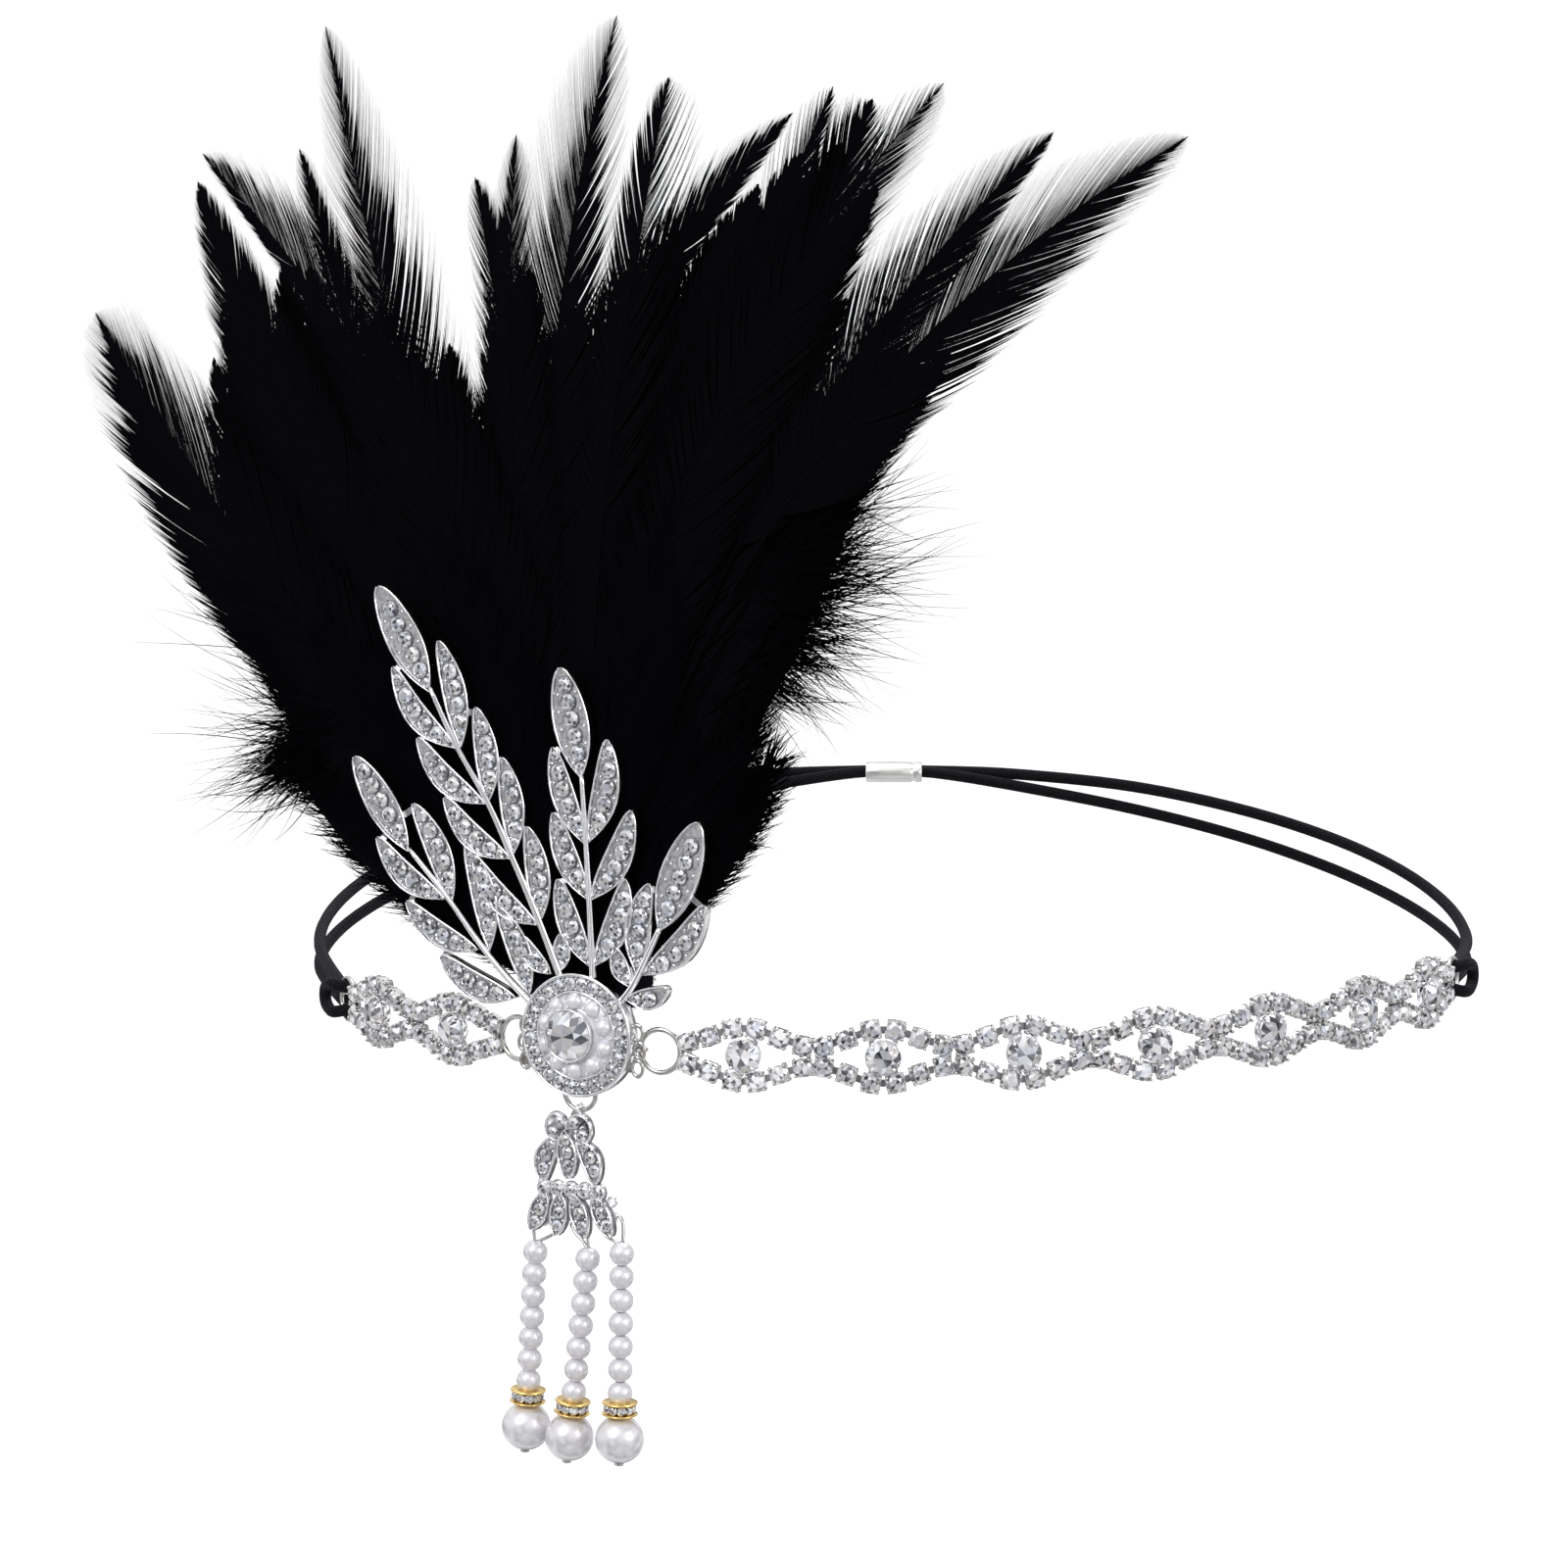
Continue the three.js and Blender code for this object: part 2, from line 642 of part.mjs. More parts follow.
const dish = turned(MEDALLION_DISH, MEDALLION_SIDES);
const rimStoneProfile = [
  { radius: 0, height: 2.9 },
  { radius: RIM_STONE_RADIUS, height: 2.9 },
  { radius: 0.65, height: 3.9 },
  { radius: 0, height: 3.9 },
];
const rimStone = turned(rimStoneProfile, 8);
const medallionPieces = [dish];
for (let i = 0; i < RIM_STONES; i += 1) {
  const turn = (2 * Math.PI * (i + 0.5)) / RIM_STONES;
  const u = RIM_STONE_ORBIT * Math.cos(turn);
  const v = RIM_STONE_ORBIT * Math.sin(turn);
  medallionPieces.push(placed(rimStone, shift(u, v, 0)));
}
addNode('medallion', fuse(medallionPieces.map(solidOf)).transform(brooch.toArray()), 'silver');

const pearlBed = turnedBead([
  { radius: 4.7, height: PEARL_SEAT },
  { radius: 6.8, height: PEARL_SEAT },
  { radius: 6.8, height: PEARL_SEAT + 0.4 },
  { radius: 4.7, height: PEARL_SEAT + 0.4 },
], HALF_PEARLS);
const halfPearl = turned([
  { radius: 0, height: 0 },
  { radius: HALF_PEARL_RADIUS, height: 0.5 },
  { radius: HALF_PEARL_RADIUS * 0.65, height: 1.45 },
  { radius: 0, height: 1.7 },
], 8);
const pearlPieces = [pearlBed];
for (let i = 0; i < HALF_PEARLS; i += 1) {
  const turn = (2 * Math.PI * (i + 0.5)) / HALF_PEARLS;
  const u = HALF_PEARL_ORBIT * Math.cos(turn);
  const v = HALF_PEARL_ORBIT * Math.sin(turn);
  pearlPieces.push(placed(halfPearl, shift(u, v, PEARL_SEAT + 0.1)));
}
addNode('pearl_ring', fuse(pearlPieces.map(solidOf)).transform(brooch.toArray()), 'pearl');
addNode('centre_stone', solidOf(placed(turned(CENTRE_STONE, 12), brooch)), 'crystal');

// Bail and drop. The drop's own origin is the foot of the bail ring.

const bailRing = wireRing(BAIL_RADIUS, BAIL_WIRE, 14, 5);
const bailSpot = shift(0, BAIL_TOP - BAIL_RADIUS, BAIL_PLANE);
addNode('bail_ring', solidOf(placed(bailRing, brooch, bailSpot)), 'silver');

const dropSpot = shift(0, BAIL_TOP - 2 * BAIL_RADIUS, BAIL_PLANE);
const dropPieces = DROP_LEAVES.map((leaf) => (
  leafBetween(leaf.fromX, leaf.fromY, leaf.toX, leaf.toY, leaf.width, DROP_BACK)
));
const dropEye = wireRing(LUG_RADIUS, LUG_WIRE, 8, 5);
dropEye.rotateY(Math.PI / 2);
dropPieces.push(dropEye);
[-1, 1].forEach((side) => {
  const lobe = turned(DROP_LOBE, DROP_LOBE_SIDES);
  dropPieces.push(placed(lobe, shift(side * DROP_LOBE_X, DROP_LOBE_Y, DROP_BACK)));
});
const barLevel = DROP_BACK + 0.7;
const barFrom = new THREE.Vector3(-DROP_BAR_HALF, DROP_BAR_Y, barLevel);
const barTo = new THREE.Vector3(DROP_BAR_HALF, DROP_BAR_Y, barLevel);
dropPieces.push(barBetween(barFrom, barTo, UP, DROP_BAR_WIDTH, DROP_BAR_DEPTH));
const eyeLevel = DROP_BACK + 0.7;
STRINGS.forEach((string) => {
  const eye = wireRing(EYE_RADIUS, EYE_WIRE, 8, 5);
  dropPieces.push(placed(eye, shift(string.eyeX, string.eyeY, eyeLevel)));
});
const dropNodes = [{ name: 'drop_casting', solid: fuse(dropPieces.map(solidOf)), finish: 'silver' }];

// A head pin: a loop through its eye, then straight down to the last pearl.
function headPin(string) {
  const lowest = new THREE.Vector3(string.eyeX, string.eyeY - EYE_RADIUS, eyeLevel);
  const end = new THREE.Vector3(string.endX, string.endY, eyeLevel);
  const points = [];
  for (let i = 0; i <= 7; i += 1) {
    const turn = -Math.PI / 2 - 0.75 - ((2 * Math.PI - 1.4) * i) / 7;
    points.push(new THREE.Vector3(
      lowest.x,
      lowest.y + PIN_LOOP * Math.sin(turn),
      lowest.z + PIN_LOOP * Math.cos(turn),
    ));
  }
  const way = end.clone().sub(lowest).normalize();
  points.push(lowest.clone().addScaledVector(way, PIN_LOOP + 0.7));
  points.push(lowest.clone().addScaledVector(way, PIN_LOOP + 2.5));
  points.push(end.clone().addScaledVector(way, 5));
  return { bar: roundBar(points, PIN_RADIUS, PIN_SIDES, 1), lowest, end, way };
}

STRINGS.forEach((string) => {
  const pin = headPin(string);
  const away = new THREE.Vector3(pin.way.y, -pin.way.x, 0).negate();
  const axis = new THREE.Matrix4().makeBasis(away, new THREE.Vector3(0, 0, -1), pin.way.clone().negate());
  const at = (distance) => {
    const spot = pin.end.clone().addScaledVector(pin.way, -distance);
    return axis.clone().setPosition(spot);
  };
  const cap = placed(turned(PIN_CAP, PIN_SIDES + 3), at(0));
  const pinSolid = fuse([pin.bar, cap].map(solidOf));
  dropNodes.push({ name: `head_pin_${string.name}`, solid: pinSolid, finish: 'silver' });
  const pearl = solidOf(placed(turnedBead(DROP_PEARL_PROFILE, DROP_PEARL_SIDES), at(0)));
  dropNodes.push({ name: `drop_pearl_${string.name}`, solid: pearl, finish: 'pearl' });
  const rondelle = solidOf(placed(turnedBead(RONDELLE_PROFILE, DROP_PEARL_SIDES), at(RONDELLE_OFFSET)));
  dropNodes.push({ name: `rondelle_${string.name}`, solid: rondelle, finish: 'gilt' });
  for (let bead = 0; bead < BEADS; bead += 1) {
    const distance = RONDELLE_OFFSET + 3.1 + bead * BEAD_PITCH;
    const body = solidOf(placed(turnedBead(BEAD_PROFILE, BEAD_SIDES), at(distance)));
    dropNodes.push({ name: `bead_${string.name}_${bead + 1}`, solid: body, finish: 'pearl' });
  }
});

// Middle of weight of a list of solids.
function weightPoint(solids) {
  const sum = new THREE.Vector3();
  let volume = 0;
  solids.forEach((solid) => {
    const geometry = geometryOf(solid);
    const spots = geometry.attributes.position;
    const order = geometry.index.array;
    for (let i = 0; i < order.length; i += 3) {
      const [a, b, c] = [0, 1, 2].map((k) => new THREE.Vector3().fromBufferAttribute(spots, order[i + k]));
      const part = a.dot(b.clone().cross(c)) / 6;
      volume += part;
      sum.addScaledVector(a.add(b).add(c), part / 4);
    }
  });
  return sum.divideScalar(volume);
}

// The drop hangs: it is turned about the bail until its weight is straight below it.
const weight = weightPoint(dropNodes.map((node) => node.solid));
const forward = Math.atan2(weight.z, -weight.y);
const sideways = Math.atan2(weight.x, -weight.y);
const hang = new THREE.Matrix4().makeRotationX(forward);
hang.premultiply(new THREE.Matrix4().makeRotationZ(-sideways));
const dropPlace = brooch.clone().multiply(dropSpot).multiply(hang);
dropNodes.forEach((node) => {
  addNode(node.name, node.solid.transform(dropPlace.toArray()), node.finish);
});

// Elastic: each side is one cord, doubled, with a cow hitch round the chain's outer ring.

function backPoint(turn, rise) {
  const depth = Math.abs(turn) > Math.PI / 2 ? LOOP_BACK_DEPTH : LOOP_FRONT_DEPTH;
  return new THREE.Vector3(LOOP_HALF_WIDTH * Math.sin(turn), -depth * Math.cos(turn), rise);
}

function ringSag(rise) {
  return Math.sqrt(RING_RADIUS * RING_RADIUS - rise * rise) - RING_RADIUS;
}

const HITCH = [
  { along: 5.2, out: -1.6, rise: 1.3 },
  { along: 2.4, out: -1.85, rise: 1.25 },
  { along: 0.2, out: -1.95, rise: 1.3 },
  { along: -1.65, out: -1.2, rise: 1.55 },
  { along: -2.05, out: 0.2, rise: 1.95 },
  { along: -1.25, out: 1.6, rise: 2.3 },
  { along: 0.5, out: 2.1, rise: 2.4 },
  { along: 2.0, out: 2.15, rise: 1.55 },
];

function elasticRoute(end, side) {
  const bar = new THREE.Vector3(side * RING_RADIUS, 0, RING_LEVEL).applyMatrix4(chainFrame(end));
  const along = new THREE.Vector3().setFromMatrixColumn(chainFrame(end), 0).multiplyScalar(side);
  const out = chainOut(end);
  const halfKnot = (way) => HITCH.map((row) => {
    const slip = row.along < 1 ? ringSag(row.rise) : 0;
    const spot = bar.clone().addScaledVector(along, row.along + slip);
    return spot.addScaledVector(out, row.out).addScaledVector(UP, way * row.rise);
  });
  const knot = halfKnot(1);
  const bridge = bar.clone().addScaledVector(along, 2.6).addScaledVector(out, 2.2);
  const start = Math.atan2(knot[0].x / LOOP_HALF_WIDTH, -knot[0].y / LOOP_FRONT_DEPTH);
  const strand = (way) => {
    const points = [];
    for (let i = 0; i < STRAND_POINTS; i += 1) {
      const share = i / STRAND_POINTS;
      const turn = side * Math.PI + (start - side * Math.PI) * share;
      const climb = BACK_RISE * Math.pow(1 - Math.pow(share, STRAND_HOLD), STRAND_FALL);
      const slack = way < 0 ? -STRAND_SAG * Math.sin(Math.PI * Math.pow(share, STRAND_LAG)) : 0;
      const split = way * STRAND_SPLIT * Math.min(1, share * 4);
      const apart = way * STRAND_SPLIT * Math.max(0, 1 - share * 4);
      const spot = backPoint(turn, climb + split + slack);
      const inward = new THREE.Vector3(-Math.sin(turn), Math.cos(turn), 0);
      spot.addScaledVector(inward, -apart);
      if (i === 0) {
        points.push(spot.clone().setX(side * CORD_END_GAP));
        spot.setX(side * (CRIMP_LENGTH / 2 + 2));
      }
      points.push(spot);
    }
    return points;
  };
  const upper = [...strand(1), ...knot];
  const lower = [...strand(-1), ...halfKnot(-1)];
  return [...upper, bridge, ...lower.reverse()];
}

const sides = [
  { name: 'right', end: rightChain.outer, side: 1 },
  { name: 'left', end: leftChain.outer, side: -1 },
];
sides.forEach((row) => {
  const cord = roundBar(elasticRoute(row.end, row.side), CORD_RADIUS, CORD_SIDES, 1.15);
  addNode(`elastic_${row.name}`, solidOf(cord), 'elastic');
});

// Crimp: a flattened tube that holds the four cord ends.
function ovalPath(path, halfWide, halfTall) {
  path.absarc(halfWide - halfTall, 0, halfTall, -Math.PI / 2, Math.PI / 2, false);
  path.absarc(halfTall - halfWide, 0, halfTall, Math.PI / 2, (3 * Math.PI) / 2, false);
  return path;
}

const roomTall = CORD_RADIUS + CRIMP_ROOM;
const roomWide = CORD_RADIUS + STRAND_SPLIT + CRIMP_ROOM;
const crimpOutline = ovalPath(new THREE.Shape(), roomWide + CRIMP_WALL, roomTall + CRIMP_WALL);
crimpOutline.holes.push(ovalPath(new THREE.Path(), roomWide, roomTall));
const crimp = new THREE.ExtrudeGeometry(crimpOutline, {
  depth: CRIMP_LENGTH,
  bevelEnabled: false,
  curveSegments: 3,
});
crimp.translate(0, 0, -CRIMP_LENGTH / 2);
const crimpFrame = new THREE.Matrix4().makeBasis(
  new THREE.Vector3(0, 1, 0),
  UP,
  new THREE.Vector3(1, 0, 0),
).setPosition(0, LOOP_BACK_DEPTH, BACK_RISE);
addNode('crimp', solidOf(placed(crimp, crimpFrame)), 'nickel');

// Plume: feather blades and fluff locks, all rooted in one head.

function spindle(row, stations, sides, flatness) {
  const rootToTip = new THREE.Vector2(row.tipU - PLUME_U, row.tipV - PLUME_V);
  const length = rootToTip.length();
  const profile = stations.map((station) => ({
    radius: (row.width / 2) * station.wide,
    height: length * station.at,
  }));
  const geometry = turned(profile, sides);
  const spots = geometry.attributes.position;
  const bow = (row.bow || 0) * length;
  for (let i = 0; i < spots.count; i += 1) {
    const share = spots.getZ(i) / length;
    const aside = spots.getX(i) + bow * 4 * share * (1 - share);
    const back = spots.getY(i) * flatness - row.back * share * share;
    spots.setXYZ(i, aside, spots.getZ(i), back);
  }
  geometry.rotateZ(Math.atan2(rootToTip.y, rootToTip.x) - Math.PI / 2);
  geometry.translate(PLUME_U, PLUME_V, PLUME_DEPTH);
  return geometry;
}

const BLADE = [
  { at: 0, wide: 0 },
  { at: 0.5, wide: 0.7 },
  { at: 0.72, wide: 1 },
  { at: 0.9, wide: 0.62 },
  { at: 1, wide: 0 },
];
const LOCK = [
  { at: 0, wide: 0 },
  { at: 0.66, wide: 1 },
  { at: 1, wide: 0 },
];
const plumePieces = [
  ...LOCKS.map((lock) => spindle(lock, LOCK, LOCK_SIDES, LOCK_FLATNESS)),
  ...FEATHERS.map((feather) => spindle(feather, BLADE, BLADE_SIDES, BLADE_FLATNESS)),
];
const plumeHead = turned([
  { radius: 0, height: -1.2 },
  { radius: 5.5, height: -1.2 },
  { radius: 5.5, height: 1.2 },
  { radius: 0, height: 1.2 },
], 10);
plumePieces.push(placed(plumeHead, shift(PLUME_U, PLUME_V, PLUME_DEPTH)));
addNode('feather_plume', fuse(plumePieces.map(solidOf)).transform(brooch.toArray()), 'feather');

// Felt pad behind the plume's head.
const padOutline = new THREE.Shape();
padOutline.absellipse(PAD_U, PAD_V, PAD_HALF_WIDTH, PAD_HALF_HEIGHT, 0, 2 * Math.PI, false, 0);
const pad = new THREE.ExtrudeGeometry(padOutline, {
  depth: PAD_THICK,
  bevelEnabled: false,
  curveSegments: 12,
});
addNode('felt_pad', solidOf(placed(pad, brooch, shift(0, 0, PAD_BACK))), 'felt');

export default headband;
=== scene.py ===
import json
import math
import bpy
import numpy as np
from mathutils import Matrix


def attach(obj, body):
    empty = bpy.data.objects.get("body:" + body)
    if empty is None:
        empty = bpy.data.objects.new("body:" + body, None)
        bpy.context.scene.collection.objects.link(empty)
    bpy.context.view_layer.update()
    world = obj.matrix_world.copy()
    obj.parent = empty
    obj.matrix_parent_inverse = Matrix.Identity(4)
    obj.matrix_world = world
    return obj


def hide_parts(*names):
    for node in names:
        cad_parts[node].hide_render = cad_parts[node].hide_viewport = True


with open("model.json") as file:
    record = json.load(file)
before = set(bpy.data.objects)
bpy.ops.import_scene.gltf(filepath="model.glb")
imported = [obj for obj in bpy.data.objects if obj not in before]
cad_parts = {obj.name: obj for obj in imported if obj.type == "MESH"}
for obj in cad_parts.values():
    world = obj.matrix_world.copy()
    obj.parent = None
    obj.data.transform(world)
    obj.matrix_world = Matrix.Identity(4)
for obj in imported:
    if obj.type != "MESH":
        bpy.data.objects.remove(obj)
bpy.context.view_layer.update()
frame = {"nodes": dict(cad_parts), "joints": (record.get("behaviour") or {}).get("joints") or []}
mm = 0.001  # sizes below are in millimetres, meshes are stored in metres
dice = np.random.default_rng(1926)
print("frame loaded:", len(frame["nodes"]), "nodes")


# camera

camera = {
    "distance": 1.3,
    "elevation": 9.2,
    "lens": 168.2,
    "sensor": 36.0,
    "shiftX": -0.07,
    "shiftY": 0.1085,
}


def setCamera():
    rise = math.radians(camera["elevation"])
    data = bpy.data.cameras.new("frontCamera")
    data.lens = camera["lens"]
    data.sensor_width = camera["sensor"]
    data.shift_x = camera["shiftX"]
    data.shift_y = camera["shiftY"]
    data.clip_start, data.clip_end = 0.05, 30
    view = bpy.data.objects.new("frontCamera", data)
    view.location = (0, -camera["distance"] * math.cos(rise), camera["distance"] * math.sin(rise))
    view.rotation_euler = (math.pi / 2 - rise, 0, 0)
    bpy.context.scene.collection.objects.link(view)
    bpy.context.scene.camera = view


setCamera()
print("camera set")


# mesh helpers: a shape is (points, [face arrays]), a heap collects shapes into one piece

class Heap:
    def __init__(self):
        self.points, self.groups, self.smooth, self.tones, self.marks = [], [], [], [], []
        self.count = 0

    def add(self, points, faces, smooth=True, tones=None, marks=None):
        points = np.asarray(points, float).reshape(-1, 3)
        done = 0
        for group in faces:
            group = np.asarray(group, int)
            self.groups.append(group + self.count)
            self.smooth.append(np.full(len(group), smooth))
            # facet shine: painted reflections, one value a face, mid grey where none are given
            part = np.full(len(group), 0.5) if tones is None else tones[done:done + len(group)]
            self.tones.append(part)
            done += len(group)
        self.points.append(points)
        self.marks.append(np.zeros((len(points), 3)) if marks is None else marks)
        self.count += len(points)


def addPiece(name, heap, material, nodes=(), body="headband"):
    mesh = bpy.data.meshes.new(name)
    points = np.concatenate(heap.points) * mm
    corners = np.concatenate([group.ravel() for group in heap.groups])
    sizes = np.concatenate([np.full(len(group), group.shape[1]) for group in heap.groups])
    mesh.vertices.add(len(points))
    mesh.vertices.foreach_set("co", points.ravel())
    mesh.loops.add(len(corners))
    mesh.loops.foreach_set("vertex_index", corners)
    mesh.polygons.add(len(sizes))
    mesh.polygons.foreach_set("loop_start", np.cumsum(sizes) - sizes)
    mesh.polygons.foreach_set("use_smooth", np.concatenate(heap.smooth))
    mesh.update(calc_edges=True)
    # facet shine: painted reflections on the cut stones, read by the crystal material
    facetShine = mesh.attributes.new("facetShine", "FLOAT", "FACE")
    facetShine.data.foreach_set("value", np.concatenate(heap.tones))
    mark = mesh.attributes.new("mark", "FLOAT_VECTOR", "POINT")
    mark.data.foreach_set("vector", np.concatenate(heap.marks).ravel())
    mesh.validate()
    mesh.materials.append(material)
    piece = bpy.data.objects.new(name, mesh)
    bpy.context.scene.collection.objects.link(piece)
    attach(piece, body)
    if nodes:
        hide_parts(*nodes)
    return piece


def place(points, matrix):
    points = np.asarray(points, float)
    return points @ matrix[:3, :3].T + matrix[:3, 3]


def shift(x, y, z):
    matrix = np.eye(4)
    matrix[:3, 3] = (x, y, z)
    return matrix


def turnZ(angle):
    matrix = np.eye(4)
    matrix[:2, :2] = [[math.cos(angle), -math.sin(angle)], [math.sin(angle), math.cos(angle)]]
    return matrix


def turnX(angle):
    matrix = np.eye(4)
    matrix[1:3, 1:3] = [[math.cos(angle), -math.sin(angle)], [math.sin(angle), math.cos(angle)]]
    return matrix


def basis(xAxis, yAxis, zAxis, spot):
    matrix = np.eye(4)
    matrix[:3, 0], matrix[:3, 1], matrix[:3, 2], matrix[:3, 3] = xAxis, yAxis, zAxis, spot
    return matrix


def unit(vector):
    vector = np.asarray(vector, float)
    return vector / np.maximum(np.linalg.norm(vector, axis=-1, keepdims=True), 1e-12)


def axisFrame(spot, way):  # a frame whose Z runs along way
    zAxis = unit(way)
    side = unit(np.cross((0, 1, 0) if abs(zAxis[1]) < 0.9 else (1, 0, 0), zAxis))
    return basis(side, np.cross(zAxis, side), zAxis, spot)


def around(count, start=0.0):  # angles evenly round a circle
    return 2 * math.pi * (np.arange(count) + start) / count


def polar(radius, turn):
    return radius * math.cos(turn), radius * math.sin(turn)


def gridFaces(rows, columns, closed):  # quads between rows of points
    across = columns if closed else columns - 1
    i, j = np.meshgrid(np.arange(rows - 1), np.arange(across), indexing="ij")
    k = (j + 1) % columns
    return np.stack([i * columns + j, i * columns + k, (i + 1) * columns + k, (i + 1) * columns + j],
                    axis=-1).reshape(-1, 4)


def capFaces(sides, last):  # triangles over the first ring of points and the one that starts at last
    fan = np.arange(1, sides - 1)
    first = np.stack([0 * fan, fan + 1, fan], axis=-1)
    return np.concatenate([first, first[:, [0, 2, 1]] + last])


def lathe(profile, sides):  # (radius, height) rows turned round Z
    profile = np.asarray(profile, float)
    turn = around(sides)
    ring = np.stack([np.cos(turn), np.sin(turn)], axis=-1)
    points = np.zeros((len(profile), sides, 3))
    points[:, :, :2] = profile[:, None, :1] * ring[None]
    points[:, :, 2] = profile[:, None, 1]
    return points.reshape(-1, 3), [gridFaces(len(profile), sides, True)]


def sweptFrames(path):  # side and lift directions carried along a path
    path = np.asarray(path, float)
    ways = unit(np.gradient(path, axis=0))
    lift = np.zeros_like(path)
    start = np.array((0.0, 0.0, 1.0)) if abs(ways[0][2]) < 0.9 else np.array((0.0, 1.0, 0.0))
    lift[0] = unit(start - ways[0] * (start @ ways[0]))
    for i in range(1, len(path)):
        lift[i] = unit(lift[i - 1] - ways[i] * (lift[i - 1] @ ways[i]))
    return ways, np.cross(ways, lift), lift


def tube(path, radius, sides):  # closed round wire, radius may change along it
    path = np.asarray(path, float)
    radius = np.broadcast_to(np.asarray(radius, float), (len(path),))
    _, side, lift = sweptFrames(path)
    turn = around(sides)
    ring = side[:, None] * np.cos(turn)[None, :, None] + lift[:, None] * np.sin(turn)[None, :, None]
    points = (path[:, None] + ring * radius[:, None, None]).reshape(-1, 3)
    return points, [gridFaces(len(path), sides, True), capFaces(sides, (len(path) - 1) * sides)]


def ringWire(radius, wire, segments, sides):
    turn, cross = around(segments), around(sides)
    reach = radius + wire * np.cos(cross)[None, :]
    points = np.stack([reach * np.cos(turn)[:, None], reach * np.sin(turn)[:, None],
                       np.broadcast_to(wire * np.sin(cross)[None, :], (segments, sides))], axis=-1)
    faces = gridFaces(segments + 1, sides, True) % (segments * sides)
    return points.reshape(-1, 3), [faces]


def smoothRoute(points, steps):  # smooth curve through the points
    points = np.asarray(points, float)
    full = np.vstack([2 * points[0] - points[1], points, 2 * points[-1] - points[-2]])
    rows = []
    for i in range(1, len(full) - 2):
        p, q, r, s = full[i - 1:i + 3]
        for t in np.arange(steps) / steps:
            m, n = (r - p) / 2, (s - q) / 2
            rows.append((2 * t**3 - 3 * t**2 + 1) * q + (t**3 - 2 * t**2 + t) * m
                        + (3 * t**2 - 2 * t**3) * r + (t**3 - t**2) * n)
    rows.append(points[-1])
    return np.array(rows)


def barShape(start, end, out, width, depth):  # flat bar between two points
    start, end = np.asarray(start, float), np.asarray(end, float)
    along = unit(end - start)
    side = unit(np.cross(out, along))
    face = np.cross(along, side)
    corners = [(-0.5, -0.5), (0.5, -0.5), (0.5, 0.5), (-0.5, 0.5)]
    ends = [spot + side * a * width + face * b * depth for spot in (start, end) for a, b in corners]
    caps = np.array([(3, 2, 1, 0), (4, 5, 6, 7)])
    return np.array(ends), [gridFaces(2, 4, True), caps]


def brilliant(sides, table=0.56, crown=0.42, skirt=0.35):  # cut stone: table, stars, kites, girdle
    step = 2 * math.pi / sides
    fine = np.arange(2 * sides) * step / 2
    turn = np.arange(sides) * step

    def ring(radius, angles, height):
        return np.stack([radius * np.cos(angles), radius * np.sin(angles),
                         np.full(len(angles), height)], axis=-1)

    points = np.vstack([
        [(0, 0, crown * 0.985)],
        ring(table, turn, crown),
        ring(0.8, turn + step / 2, crown * 0.58),
        ring(1.0, fine, 0.0),
        ring(0.94, fine, -skirt),
    ])
    i = np.arange(sides)
    k = (i + 1) % sides
    top, mid, edge = 1 + i, 1 + sides + i, 1 + 2 * sides
    nextTop = 1 + k
    lastMid = 1 + sides + (i - 1) % sides
    even, odd, then = edge + 2 * i, edge + 2 * i + 1, edge + 2 * k
    fan = np.stack([np.zeros(sides, int), top, nextTop], axis=-1)
    stars = np.stack([top, mid, nextTop], axis=-1)
    upper = np.concatenate([np.stack([mid, even, odd], axis=-1), np.stack([mid, odd, then], axis=-1)])
    kites = np.stack([top, lastMid, even, mid], axis=-1)
    j = np.arange(2 * sides)
    wall = np.stack([edge + j, edge + 2 * sides + j,
                     edge + 2 * sides + (j + 1) % (2 * sides), edge + (j + 1) % (2 * sides)], axis=-1)
    return points, [np.concatenate([fan, stars, upper]), np.concatenate([kites, wall])]


def paintedFacetShine(shape, brightShare):  # painted reflections: bright and dark patches on the facets, in sectors under the table
    count = sum(len(group) for group in shape[1])
    sides = (len(shape[0]) - 1) // 6
    dark = dice.random(count) > brightShare
    dark[:sides] = np.sin(2 * around(sides) + dice.uniform(0, 6.3)) < dice.uniform(-0.9, -0.3)
    return np.where(dark, dice.uniform(0.0, 0.4, count), dice.uniform(0.75, 1.0, count))


def addStone(heap, shape, matrix, radius, brightShare=0.5):
    spin = turnZ(dice.uniform(0, math.pi))
    points = place(place(shape[0] * radius, spin), matrix)
    # each facet gets a painted reflection, bright for some facets and dark for others
    heap.add(points, shape[1], smooth=False, tones=paintedFacetShine(shape, brightShare))


def addShape(heap, shape, matrix=None, smooth=True):
    points = shape[0] if matrix is None else place(shape[0], matrix)
    heap.add(points, shape[1], smooth=smooth)


def domeShape(radius, height, sides):  # small rounded bead of metal
    lift = np.linspace(0, math.pi / 2 * 0.92, 4)
    return lathe([(radius * math.cos(a), height * math.sin(a)) for a in lift] + [(0.0, height)], sides)


smallStone = brilliant(8)
largeStone = brilliant(12, table=0.54, crown=0.4, skirt=0.5)


# materials

def newMaterial(name):
    material = bpy.data.materials.new(name)
    material.use_nodes = True
    nodes = material.node_tree.nodes
    return material, nodes, material.node_tree.links, nodes["Principled BSDF"]


def setInputs(node, values):
    for label, value in values.items():
        node.inputs[label].default_value = value


def newNode(nodes, kind, values=None, **settings):
    node = nodes.new("ShaderNode" + kind)
    for label, value in settings.items():
        setattr(node, label, value)
    setInputs(node, values or {})
    return node


def join(links, *rows):  # each row: a node, its output, the next node, its input
    for source, output, sink, entry in rows:
        links.new(source.outputs[output], sink.inputs[entry])


